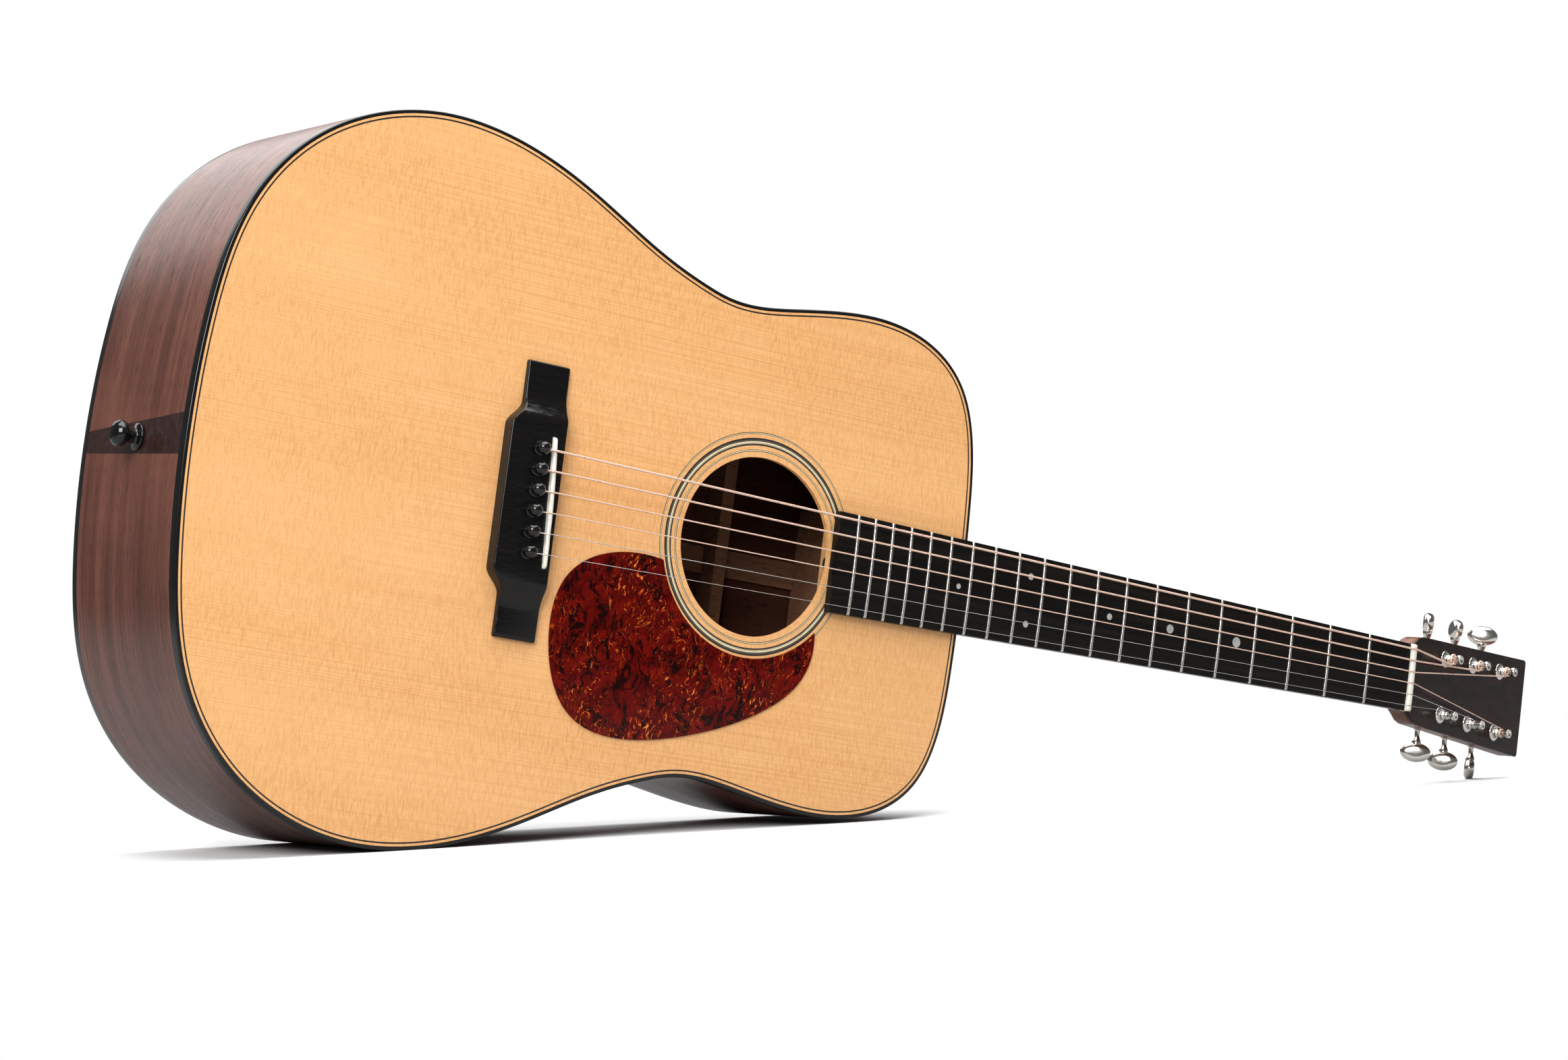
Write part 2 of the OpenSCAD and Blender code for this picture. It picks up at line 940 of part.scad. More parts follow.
module frets() {
  color("silver")
    for (n = [1 : fret_count])
      fret_ring(n, fret_profile, -0.3);
}

function mid_fret(n) = (fret_x(n) + fret_x(n - 1)) / 2;
board_dots = [[mid_fret(5), 0, 6.4], [mid_fret(7), 0, 5.5], [mid_fret(9), 0, 4],
  [mid_fret(12), -14.2, 4], [mid_fret(12), 14.2, 4], [mid_fret(15), 0, 3.2]];
dot_depth = 1.2;
side_dot_x = [for (n = [3, 5, 7, 9, 12, 15]) mid_fret(n)];

module side_dot(x) {
  translate([x, board_half(x) - 1.25, board_thickness / 2])
    rotate([-90, 0, 0])
      cylinder(d = 2, h = 1.2, $fn = 96);
}

module fingerboard_dots() {
  color("white")
    for (dot = board_dots) {
      edge = abs(dot[1]) + dot[2] / 2;
      translate([dot[0], dot[1], board_thickness - dot_depth])
        cylinder(d = dot[2], h = dot_depth - edge * edge / 2 / board_radius, $fn = 96);
    }
  color("white")
    for (x = side_dot_x)
      side_dot(x);
}

module nut() {
  color("ivory")
    difference() {
      translate([nut_x, -nut_width / 2, 0])
        cube([nut_thickness, nut_width, string_low(nut_x, 0) + 0.7]);
      for (n = [0 : 5])
        nut_slot(n);
    }
}

module nut_slot(n) {
  y = spread_y(n, nut_spread);
  r = string_r[n] + 0.03;
  translate([nut_x - 1, y, string_low(nut_x, y) + string_r[n]]) {
    rotate([0, 90, 0])
      cylinder(r = r, h = nut_thickness + 2, $fn = 48);
    translate([0, -r, 0])
      cube([nut_thickness + 2, 2 * r, 3]);
  }
}

module headplate() {
  color("maroon")
    difference() {
      on_head()
        translate([0, 0, -plate_thickness])
          linear_extrude(plate_thickness)
            head_outline();
      translate([nut_x - 6, -40, -10])
        cube([nut_thickness + 6, 80, 30]);
      for (side = [-1, 1])
        for (i = [0 : 2])
          post_at(i, side)
            translate([0, 0, -5])
              cylinder(r = bush_r, h = 10, $fn = 48);
    }
}

module tuner_plates() {
  color("silver")
    for (side = [-1, 1])
      for (i = [0 : 2])
        post_at(i, side)
          tuner_plate(side);
}

// Back plate of one tuner, with two lugs that carry the worm
module tuner_plate(side) {
  difference() {
    union() {
      translate([-13, -6.5, -head_thickness - mount_plate])
        cube([33, 14, mount_plate]);
      for (end = [-1, 1])
        translate([gear_offset - 4, end * lug_y - lug_thickness / 2, gear_w - 3.4])
          cube([8, lug_thickness, -head_thickness - gear_w + 3.4 - 0.5]);
    }
    translate([0, 0, -head_thickness - 5])
      cylinder(r = post_r + bore_fit, h = 10, $fn = 48);
    translate([gear_offset, -20, gear_w])
      rotate([-90, 0, 0])
        cylinder(r = stem_r + bore_fit, h = 40, $fn = 32);
    for (u = [-10, 17])
      translate([u, 0, -head_thickness - 5])
        cylinder(r = 1.3, h = 10, $fn = 24);
  }
}

module tuner_screw_holes() {
  for (side = [-1, 1])
    for (i = [0 : 2])
      for (u = [-10, 17])
        post_at(i, side)
          translate([u, 0, -head_thickness - 1])
            cylinder(r = 1.3, h = 9, $fn = 24);
}

module tuner_screws() {
  color("silver")
    for (side = [-1, 1])
      for (i = [0 : 2])
        for (u = [-10, 17])
          post_at(i, side)
            translate([u, 0, -head_thickness])
              tuner_screw();
}

module tuner_screw() {
  difference() {
    union() {
      translate([0, 0, -mount_plate])
        cylinder(r = 1.25, h = 8, $fn = 24);
      translate([0, 0, -mount_plate - 1.1])
        cylinder(r1 = 1.7, r2 = 2.3, h = 1.1, $fn = 24);
    }
    translate([-0.25, -3, -mount_plate - 2])
      cube([0.5, 6, 1.5]);
  }
}

module tuner_bushings() {
  color("silver")
    for (side = [-1, 1])
      for (i = [0 : 2])
        post_at(i, side)
          difference() {
            union() {
              translate([0, 0, -7])
                cylinder(r = bush_r, h = 7, $fn = 48);
              cylinder(r1 = 5.6, r2 = 4.6, h = 1.3, $fn = 48);
            }
            translate([0, 0, -10])
              cylinder(r = post_r + bore_fit, h = 20, $fn = 48);
          }
}

function unit(v) = v / norm(v);
// Closed tube of ten sides along a row of points
module tube(route, r) {
  last = len(route) - 1;
  loft([for (i = [0 : last])
    let (way = unit(route[min(i + 1, last)] - route[max(i - 1, 0)]),
      up = unit(cross(way, [0, 1, 0])), across = cross(way, up))
    [for (k = [0 : 9]) let (a = 36 * k)
      route[i] + r * (cos(a) * across + sin(a) * up)]]);
}

wrap_w = 5.2;
wind_gap = 0.25;
// Where a string meets its winding, flat frame
function wind_point(n) = let (i = post_of[n], r = string_r[n],
    u = post_u[i] - 1.5,
    y = side_of(n) * (post_y[i] - post_waist_r - 2 * r - wind_gap),
    w = wrap_w + r)
  [nut_x + nut_thickness + u * cos(head_angle) + w * sin(head_angle), y,
   head_z - u * sin(head_angle) + w * cos(head_angle)];

module string(n) {
  r = string_r[n];
  y = spread_y(n, bridge_spread);
  x = pin_x + pin_top_r - groove_r + hole_offset;
  sx = saddle_x(string_y(n, saddle_x(y)));
  sy = string_y(n, sx);
  ny = spread_y(n, nut_spread);
  nz = string_low(nut_x, ny) + r;
  sz = string_low(sx, sy) + r;
  ball_x = pin_x + pin_top_r + ball_r + 0.1;
  ball_z = -top_thickness - bridge_plate_thickness - ball_r - 0.2;
  color(n < 2 ? "silver" : "peru")
    tube([[ball_x, y, ball_z], [x + 0.7, y, ball_z + 0.2], [x, y, ball_z + 1.2],
      [x, y, bridge_height - 3], [x + 0.6, y, bridge_height - 1.6],
      [sx - saddle_width * 0.6, sy, sz], [sx, sy, sz], [nut_x, ny, nz],
      [nut_x + nut_thickness, ny, nz - 0.15], wind_point(n)], r);
  color("gold")
    translate([ball_x, y, ball_z])
      rotate([90, 0, 0])
        cylinder(r = ball_r, h = ball_length, center = true, $fn = 24);
}

// Slotted pin that wedges a string's ball end under the bridge plate
module bridge_pin(n) {
  y = spread_y(n, bridge_spread);
  color("black")
    difference() {
      union() {
        pin_bore(n, 0);
        translate([pin_x, y, bridge_height + 0.05])
          cylinder(r = pin_head_r, h = pin_collar, $fn = 32);
        translate([pin_x, y, bridge_height])
          cylinder(r = pin_top_r, h = 4, $fn = 32);
        translate([pin_x, y, bridge_height + pin_collar + pin_head_r - pin_sink])
          sphere(r = pin_head_r, $fn = 32);
      }
      translate([pin_x + pin_top_r - groove_r + hole_offset, y, bridge_height - pin_length - 1])
        cylinder(r = groove_r, h = pin_length + 1 + groove_rise, $fn = 24);
      translate([pin_x + pin_top_r - groove_r + hole_offset, y - groove_r,
          bridge_height - pin_length - 1])
        cube([6, 2 * groove_r, pin_length + 1 + groove_rise]);
      translate([pin_x, y, bridge_height - pin_length - 20])
        cylinder(r = 9, h = 20, $fn = 24);
    }
}

module end_pin() {
  color("black")
    translate([0, 0, -tail_mid])
      rotate([0, -90, 0])
        rotate_extrude($fn = 48)
          polygon([[0, -24], [5.4, -24], [5.9, -23], [5.9, -0.6], [5.9, 0.3], [7.4, 0.3],
            [7.4, 1.8], [4.6, 2.8], [4.2, 3.4], [4.2, 6.8], [5.2, 7.4], [6.5, 8.6],
            [7.2, 10.5], [6.9, 12.6], [5.6, 14.4],
            [end_pin_face[1], end_pin_face[0]], [0, end_pin_face[0] + 0.3]]);
}

// Worm shaft with its knob, in the frame of its post
module tuner_knob(n) {
  i = post_of[n];
  side = side_of(n);
  stem_end = knob_y - knob_half + 2;
  color("silver")
    post_at(i, side)
      translate([gear_offset, 0, gear_w])
        rotate([side > 0 ? -90 : 90, 0, 0]) {
          translate([0, 0, -lug_y - lug_thickness])
            cylinder(r = stem_r, h = lug_y + lug_thickness + stem_end, $fn = 32);
          worm_thread();
          translate([0, 0, lug_y + lug_thickness + 0.3])
            cylinder(r = 2.5, h = 1.2, $fn = 32);
          translate([0, 0, knob_y])
            rotate([0, 0, knob_turn[n] + knob_angle])
              knob_button();
        }
}

// Thread that moves one gear tooth for each turn
module worm_thread() {
  turns = worm_length / worm_pitch;
  cam = [for (k = [0 : 15]) let (a = k * 22.5, d = abs(a > 180 ? a - 360 : a))
    (d < 34 ? worm_tip_r : d < 80 ? worm_core_r + (80 - d) / 46 * (worm_tip_r - worm_core_r)
      : worm_core_r) * [cos(a), sin(a)]];
  rotate([0, 0, 180 - 180 * turns])
    translate([0, 0, -worm_length / 2])
      linear_extrude(worm_length, twist = -360 * turns,
          slices = round(worm_slices * turns))
        polygon(cam);
}

// Flat oval with rounded faces
module knob_button() {
  hull()
    for (layer = [[0.72, 1], [0.92, 0.72], [1, 0.25], [1, -0.25], [0.92, -0.72], [0.72, -1]])
      translate([0, layer[1] * knob_thickness / 2, 0])
        rotate([90, 0, 0])
          linear_extrude(0.02)
            polygon([for (k = [0 : 27]) let (a = 360 * k / 28)
              layer[0] * [knob_width / 2 * cos(a), knob_half * sin(a)]]);
}

// String post with its gear, gear screw and winding
module tuner_post(n) {
  i = post_of[n];
  side = side_of(n);
  post_at(i, side) {
    color("silver")
      difference() {
        rotate_extrude($fn = 48)
          polygon([[0, gear_w + gear_thickness / 2], [3.9, gear_w + gear_thickness / 2],
            [3.9, -head_thickness - mount_plate - 0.2],
            [post_r, -head_thickness - mount_plate - 0.2],
            [post_r, wrap_w - 2.2], [post_waist_r, wrap_w - 1.2],
            [post_waist_r, wrap_w + 3.6], [post_r, wrap_w + 4.4],
            [post_r, post_top - 0.5], [post_r - 0.5, post_top], [0, post_top]]);
        translate([0, 0, wrap_w + 3])
          rotate([0, 90, 0])
            cylinder(r = 0.8, h = 20, center = true, $fn = 24);
      }
    color("silver")
      gear(n);
    color("silver")
      translate([0, 0, gear_w - gear_thickness / 2 - 1.4])
        difference() {
          cylinder(r1 = 2.4, r2 = 3.2, h = 1.4, $fn = 32);
          translate([-0.35, -5, -1])
            cube([0.7, 10, 1.8]);
        }
    color(n < 2 ? "silver" : "peru")
      for (k = [0 : wrap_turns[n] - 1])
        translate([0, 0, wrap_w + string_r[n] - 2 * k * string_r[n] + 1])
          rotate_extrude($fn = 32)
            translate([post_waist_r + string_r[n], 0])
              circle(r = string_r[n], $fn = 16);
  }
}

module gear(n) {
  step = 360 / gear_teeth;
  translate([0, 0, gear_w - gear_thickness / 2])
    linear_extrude(gear_thickness)
      polygon([for (k = [0 : gear_teeth - 1]) let (a = (k + 0.5) * step)
        each [gear_root_r * [cos(a - step * 0.24), sin(a - step * 0.24)],
          gear_tip_r * [cos(a - step * 0.12), sin(a - step * 0.12)],
          gear_tip_r * [cos(a + step * 0.12), sin(a + step * 0.12)],
          gear_root_r * [cos(a + step * 0.24), sin(a + step * 0.24)]]]);
}

stand() {
  soundboard();
  back_plate();
  side_bass();
  side_treble();
  end_graft();
  neck_block();
  tail_block();
  lining_top();
  lining_back();
  x_brace();
  tone_bars();
  finger_braces();
  transverse_brace();
  back_braces();
  back_center_strip();
  bridge_plate();
  binding_top();
  binding_back();
  purfling();
  rosette();
  pickguard();
  bridge();
  saddle();
  neck();
  heel_cap();
  truss_rod();
  truss_rod_nut();
  fingerboard();
  frets();
  fingerboard_dots();
  nut();
  headplate();
  tuner_plates();
  tuner_bushings();
  tuner_screws();
  end_pin();
  for (n = [0 : 5]) {
    string(n);
    bridge_pin(n);
    tuner_knob(n);
    tuner_post(n);
  }
}
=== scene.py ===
import json
import math

import bmesh
import bpy
import numpy as np
from mathutils import Matrix, Vector


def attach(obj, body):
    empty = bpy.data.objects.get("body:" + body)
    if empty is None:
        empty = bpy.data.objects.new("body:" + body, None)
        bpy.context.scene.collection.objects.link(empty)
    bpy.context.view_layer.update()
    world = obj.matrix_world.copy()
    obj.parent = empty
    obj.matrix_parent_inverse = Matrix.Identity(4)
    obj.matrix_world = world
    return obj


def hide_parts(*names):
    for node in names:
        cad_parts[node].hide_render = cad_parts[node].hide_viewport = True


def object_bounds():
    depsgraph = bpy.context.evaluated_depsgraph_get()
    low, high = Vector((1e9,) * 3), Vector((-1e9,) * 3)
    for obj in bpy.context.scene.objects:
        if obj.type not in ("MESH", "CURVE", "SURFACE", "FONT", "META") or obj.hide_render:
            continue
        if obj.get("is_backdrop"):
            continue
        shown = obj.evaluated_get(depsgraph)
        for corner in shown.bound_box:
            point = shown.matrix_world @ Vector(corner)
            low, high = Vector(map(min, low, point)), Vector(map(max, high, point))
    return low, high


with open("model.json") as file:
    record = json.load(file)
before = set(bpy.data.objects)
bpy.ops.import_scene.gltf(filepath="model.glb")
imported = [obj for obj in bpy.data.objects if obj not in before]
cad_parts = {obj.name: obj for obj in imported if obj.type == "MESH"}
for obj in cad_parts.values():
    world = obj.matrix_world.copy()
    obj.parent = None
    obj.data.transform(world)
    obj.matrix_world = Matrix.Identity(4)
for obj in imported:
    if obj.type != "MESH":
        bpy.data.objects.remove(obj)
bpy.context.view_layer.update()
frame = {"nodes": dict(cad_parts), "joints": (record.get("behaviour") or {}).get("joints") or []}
JOINTS = {j["name"]: j for j in frame["joints"]}
MM = 0.001
BEVEL_ANGLE = math.radians(35)

# ---------------------------------------------------------------- frames
# The guitar is drawn flat: x along the neck, y to the bass side, z out of the soundboard, in mm
ex = -Vector(JOINTS["end_pin_pull"]["axis"]).normalized()
ez = Vector((0, -1, 0))
ey = ez.cross(ex)
TURN = Matrix((ex, ey, ez)).transposed()
NUT_JOINT = Vector((420, 0, -8)) * MM
FLAT = Matrix.Translation(Vector(JOINTS["truss_rod_nut_turn"]["pos_m"]) - TURN @ NUT_JOINT) @ TURN.to_4x4()

# ---------------------------------------------------------------- sizes, mm
BODY, SCALE, HOLE_X, HOLE_R = 508.0, 645.16, 358.6, 50.8
TAIL, TAPER, ARCH = 124.5, math.atan(23.5 / 508), 6000.0
TOP, SIDE, BIND = 2.9, 2.2, 6.0
NUT_X = BODY + SCALE * (1 - 2 ** (-14 / 12))
BOARD, RADIUS = 6.35, 406.4
HEAD_ANGLE = math.radians(16)
HEAD_O = Vector((NUT_X + 5, 0, 3.2))
POST_U, POST_Y = (42.0, 78.5, 115.0), (18.3, 19.4, 20.5)
STRING_R = (0.165, 0.22, 0.33, 0.43, 0.56, 0.67)
POST_OF = (0, 1, 2, 2, 1, 0)
WRAPS = (5, 4, 3, 3, 2, 2)
PIN_X, BRIDGE_Z = 204.8, 8.6
STRING_X = PIN_X + 2.65 - 0.9 + 0.35  # where a string rises beside its pin
NUT_SPREAD, PIN_SPREAD, SPREAD_GAIN = 36.4, 57, 20.6
GEAR_TEETH, GEAR_PITCH_R = 14, 6.6
GEAR_W, GEAR_OFF, KNOB_Y = -20.5, 9.4, 24.3
KNOB_TURN = (60, 65, -30, 120, 45, 30)


def fret_x(n):
    return NUT_X - SCALE * (1 - 2 ** (-n / 12))


def board_half(x):
    return (42.9 + 11.1 / (SCALE / 2) * (NUT_X - x)) / 2


def spread(n, width):
    return (n - 2.5) / 5 * width


def side_of(n):
    return -1 if n < 3 else 1


def string_low(x, y):
    return BOARD + 1.5 + (NUT_X - x) / (SCALE / 2) * 1.9 - y * y / 2 / RADIUS


def string_y(n, x):
    return spread(n, NUT_SPREAD) + (NUT_X - x) / (NUT_X - PIN_X) * spread(n, SPREAD_GAIN)


def saddle_x(y):
    return 213.4 + 3.6 * (0.5 - y / 72)


def back_z(x, y):
    return -TAIL + x * math.tan(TAPER) + y * y / 2 / ARCH


def on_head(u, y, w):
    return (HEAD_O.x + u * math.cos(HEAD_ANGLE) + w * math.sin(HEAD_ANGLE), y,
            HEAD_O.z - u * math.sin(HEAD_ANGLE) + w * math.cos(HEAD_ANGLE))


# ---------------------------------------------------------------- outlines
HALF = [(-1, 0), (2, 63), (13, 128), (55, 180), (127, 205), (205, 188), (267, 153),
        (307, 139), (339, 131), (430, 154), (503, 126), (508, 39), (508, 0)]
BODY_FRAME = HALF + [(x, -y) for x, y in HALF[-2:0:-1]]
GUARD_FRAME = [(289, -10), (237, -25), (226, -63), (241, -119), (304, -124), (422, -78),
               (396, -4), (359, -35)]


def spline(control, steps):
    """Points and directions along a closed cubic B-spline."""
    points, ways = [], []
    p = np.array(control, float)
    for i in range(len(p)):
        a, b, c, d = (p[(i + k) % len(p)] for k in (-1, 0, 1, 2))
        for j in range(steps):
            u = j / steps
            points.append(((1 - u) ** 3 * a + (3 * u ** 3 - 6 * u * u + 4) * b
                           + (-3 * u ** 3 + 3 * u * u + 3 * u + 1) * c + u ** 3 * d) / 6)
            way = (-(1 - u) ** 2 * a + (3 * u * u - 4 * u) * b + (-3 * u * u + 2 * u + 1) * c + u * u * d) / 2
            ways.append(way / np.linalg.norm(way))
    return np.array(points), np.array(ways)


STEPS = 16
EDGE, EDGE_WAY = spline(BODY_FRAME, STEPS)
EDGE_IN = np.stack([EDGE_WAY[:, 1], -EDGE_WAY[:, 0]], 1)


def outline(inset):
    return EDGE + inset * EDGE_IN


# ---------------------------------------------------------------- mesh tools
def soften(obj, width, segments):
    m = obj.modifiers.new("bevel", "BEVEL")
    m.width, m.segments = width * MM, segments
    m.limit_method, m.angle_limit = "ANGLE", BEVEL_ANGLE


def finish_piece(name, mesh, mat, body="root", node=(), slot=None, bevel=0.0, smooth=40):
    bm = bmesh.new()
    bm.from_mesh(mesh)
    bmesh.ops.remove_doubles(bm, verts=bm.verts, dist=1e-7)
    bmesh.ops.recalc_face_normals(bm, faces=bm.faces)
    bm.to_mesh(mesh)
    bm.free()
    mesh.transform(FLAT)
    mesh.shade_smooth()
    mesh.set_sharp_from_angle(angle=math.radians(smooth))
    obj = bpy.data.objects.new(name, mesh)
    bpy.context.scene.collection.objects.link(obj)
    obj.data.materials.append(mat)
    if bevel:
        soften(obj, bevel, 3)
    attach(obj, body)
    if node:
        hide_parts(*([node] if isinstance(node, str) else node))
    return obj


def mesh_of(verts, faces):
    mesh = bpy.data.meshes.new("piece")
    mesh.from_pydata([tuple(c * MM for c in v) for v in verts], [], faces)
    return mesh


def merge(*parts):
    """One list of vertices and faces from several."""
    verts, faces = [], []
    for v, f in parts:
        faces += [[i + len(verts) for i in face] for face in f]
        verts += list(v)
    return verts, faces


def loft(rings, closed=False):
    """Skin over rings that have the same number of points."""
    m, n = len(rings[0]), len(rings)
    verts = [p for r in rings for p in r]
    faces = []
    for i in range(n if closed else n - 1):
        a, b = i * m, (i + 1) % n * m
        faces += [[a + j, a + (j + 1) % m, b + (j + 1) % m, b + j] for j in range(m)]
    if not closed:
        faces += [list(range(m)), list(range((n - 1) * m, n * m))]
    return verts, faces


def prism(loops, low, high):
    """Solid between two heights from an outer loop and holes in it."""
    bm = bmesh.new()
    edges = []
    for loop in loops:
        vs = [bm.verts.new((x, y, low)) for x, y in loop]
        edges += [bm.edges.new((vs[i], vs[(i + 1) % len(vs)])) for i in range(len(vs))]
    filled = bmesh.ops.triangle_fill(bm, use_beauty=True, edges=edges)
    base = [g for g in filled["geom"] if isinstance(g, bmesh.types.BMFace)]
    up = bmesh.ops.extrude_face_region(bm, geom=base, use_keep_orig=True)["geom"]
    moved = [g for g in up if isinstance(g, bmesh.types.BMVert)]
    bmesh.ops.translate(bm, verts=moved, vec=(0, 0, high - low))
    bm.verts.index_update()
    out = [tuple(v.co) for v in bm.verts], [[v.index for v in f.verts] for f in bm.faces]
    bm.free()
    return out


def circle(x, y, r, n=180):
    return [(x + r * math.cos(2 * math.pi * k / n), y + r * math.sin(2 * math.pi * k / n)) for k in range(n)]


def lathe(profile, place, n=40):
    """Profile of (radius, height) turned about place's z axis."""
    rings = [[tuple(place @ Vector((max(r, 1e-4) * math.cos(a), max(r, 1e-4) * math.sin(a), h)))
              for a in (2 * math.pi * k / n for k in range(n))] for r, h in profile]
    return loft(rings)


def rounded(profile, r, n=3):
    """Profile with its inner corners rounded."""
    out = [profile[0]]
    for a, b, c in zip(profile, profile[1:], profile[2:]):
        a, b, c = (np.array(p, float) for p in (a, b, c))
        la, lc = np.linalg.norm(a - b), np.linalg.norm(c - b)
        cut = min(r, la * 0.45, lc * 0.45)
        p, q = b + (a - b) / la * cut, b + (c - b) / lc * cut
        out += [tuple((1 - t) ** 2 * p + 2 * t * (1 - t) * b + t * t * q) for t in np.linspace(0, 1, n + 1)]
    return out + [profile[-1]]


def tube(route, r, n=12):
    route = [Vector(p) for p in route]
    rings, up = [], None
    for i, p in enumerate(route):
        way = (route[min(i + 1, len(route) - 1)] - route[max(i - 1, 0)]).normalized()
        if up is None:
            up = way.orthogonal().normalized()
        up = (up - way * up.dot(way)).normalized()
        across = way.cross(up)
        rings.append([tuple(p + r * (math.cos(a) * up + math.sin(a) * across))
                      for a in (2 * math.pi * k / n for k in range(n))])
    return loft(rings)


def smooth_route(points, cut, n=4):
    """Route with its corners rounded."""
    out = [Vector(points[0])]
    for a, b, c in zip(points, points[1:], points[2:]):
        a, b, c = Vector(a), Vector(b), Vector(c)
        s = min(cut, (a - b).length * 0.45, (c - b).length * 0.45)
        p, q = b + (a - b).normalized() * s, b + (c - b).normalized() * s
        out += [p * (1 - t) ** 2 + 2 * b * t * (1 - t) + q * t * t for t in (k / n for k in range(n + 1))]
    return out + [Vector(points[-1])]


def rim(section, first=0, last=None, level=None):
    """Section of (inset, height) carried along the body's edge; level gives the height's zero."""
    m = len(EDGE)
    closed = last is None
    picks = range(m) if closed else range(first, last + 1)
    rings = []
    for i in picks:
        p, q = EDGE[i % m], EDGE_IN[i % m]
        ring = []
        for inset, h in section:
            x, y = p + inset * q
            ring.append((x, y, h if level is None else level(x, y, h)))
        rings.append(ring)
    return loft(rings, closed=closed)


def outward(mesh):
    bm = bmesh.new()
    bm.from_mesh(mesh)
    bmesh.ops.recalc_face_normals(bm, faces=bm.faces)
    bm.to_mesh(mesh)
    bm.free()
    return mesh


def cut(mesh, *tools):
    """Takes closed tool solids out of a mesh."""
    base = bpy.data.objects.new("base", outward(mesh))
    bpy.context.scene.collection.objects.link(base)
    made = []
    for verts, faces in tools:
        tool = bpy.data.objects.new("tool", outward(mesh_of(verts, faces)))
        bpy.context.scene.collection.objects.link(tool)
        m = base.modifiers.new("cut", "BOOLEAN")
        m.object, m.operation, m.solver = tool, "DIFFERENCE", "EXACT"
        made.append(tool)
    bpy.context.view_layer.update()
    out = bpy.data.meshes.new_from_object(base.evaluated_get(bpy.context.evaluated_depsgraph_get()))
    for o in [base, *made]:
        bpy.data.objects.remove(o)
    return out


# ---------------------------------------------------------------- materials
FLOOR_NAME = "floor_paper"


def material(name, color, rough, **more):
    mat = bpy.data.materials.new(name)
    mat.use_nodes = True
    shader = mat.node_tree.nodes["Principled BSDF"]
    shader.inputs["Base Color"].default_value = (*color, 1)
    shader.inputs["Roughness"].default_value = rough
    for key, value in more.items():
        shader.inputs[key.replace("_", " ")].default_value = value
    return mat


def node(mat, kind, props=None, **ins):
    n = mat.node_tree.nodes.new("ShaderNode" + kind)
    for k, v in (props or {}).items():
        setattr(n, k, v)
    for k, v in ins.items():
        socket = n.inputs[int(k[1:])] if k[1:].isdigit() else n.inputs[k.replace("_", " ")]
        if isinstance(v, bpy.types.NodeSocket):
            mat.node_tree.links.new(v, socket)
        else:
            socket.default_value = v
    return n.outputs[0]


def link(mat, value, socket):
    shader = mat.node_tree.nodes["Principled BSDF"]
    mat.node_tree.links.new(value, shader.inputs[socket])


def coords(mat, scale=(1, 1, 1)):
    """Object coordinates, along the flat-drawn guitar for all but the floor, stretched by scale."""
    at = mat.node_tree.nodes.new("ShaderNodeTexCoord").outputs["Object"]
    if mat.name != FLOOR_NAME:
        back = FLAT.inverted()
        at = node(mat, "Mapping", Vector=at, Rotation=tuple(back.to_euler("XYZ")),
                  Location=tuple(back.translation))
    return node(mat, "Mapping", Vector=at, Scale=scale)


def noise(mat, at, scale, detail=3.0, roughness=0.5, distortion=0.0):
    return node(mat, "TexNoise", Vector=at, Scale=scale, Detail=detail, Roughness=roughness,
                Distortion=distortion)


def ramp(mat, value, *stops):
    n = mat.node_tree.nodes.new("ShaderNodeValToRGB")
    mat.node_tree.links.new(value, n.inputs[0])
    band = n.color_ramp
    while len(band.elements) < len(stops):
        band.elements.new(0.5)
    for e, (pos, c) in zip(band.elements, stops):
        e.position = pos
        e.color = (*c, 1) if len(c) == 3 else c
    return n.outputs[0]


def span(mat, value, lo, hi, a=0.0, b=1.0):
    return node(mat, "MapRange", Value=value, From_Min=lo, From_Max=hi, To_Min=a, To_Max=b)


def times(mat, a, b):
    return node(mat, "Math", {"operation": "MULTIPLY"}, i0=a, i1=b)


def blend(mat, factor, a, b):
    n = mat.node_tree.nodes.new("ShaderNodeMix")
    n.data_type = "RGBA"
    for value, i in ((factor, 0), (a, 6), (b, 7)):
        if isinstance(value, bpy.types.NodeSocket):
            mat.node_tree.links.new(value, n.inputs[i])
        else:
            n.inputs[i].default_value = value if i == 0 else (*value, 1)
    return n.outputs[2]


def bump(mat, height, strength, distance):
    n = mat.node_tree.nodes.new("ShaderNodeBump")
    n.inputs["Strength"].default_value = strength
    n.inputs["Distance"].default_value = distance
    mat.node_tree.links.new(height, n.inputs["Height"])
    link(mat, n.outputs[0], "Normal")


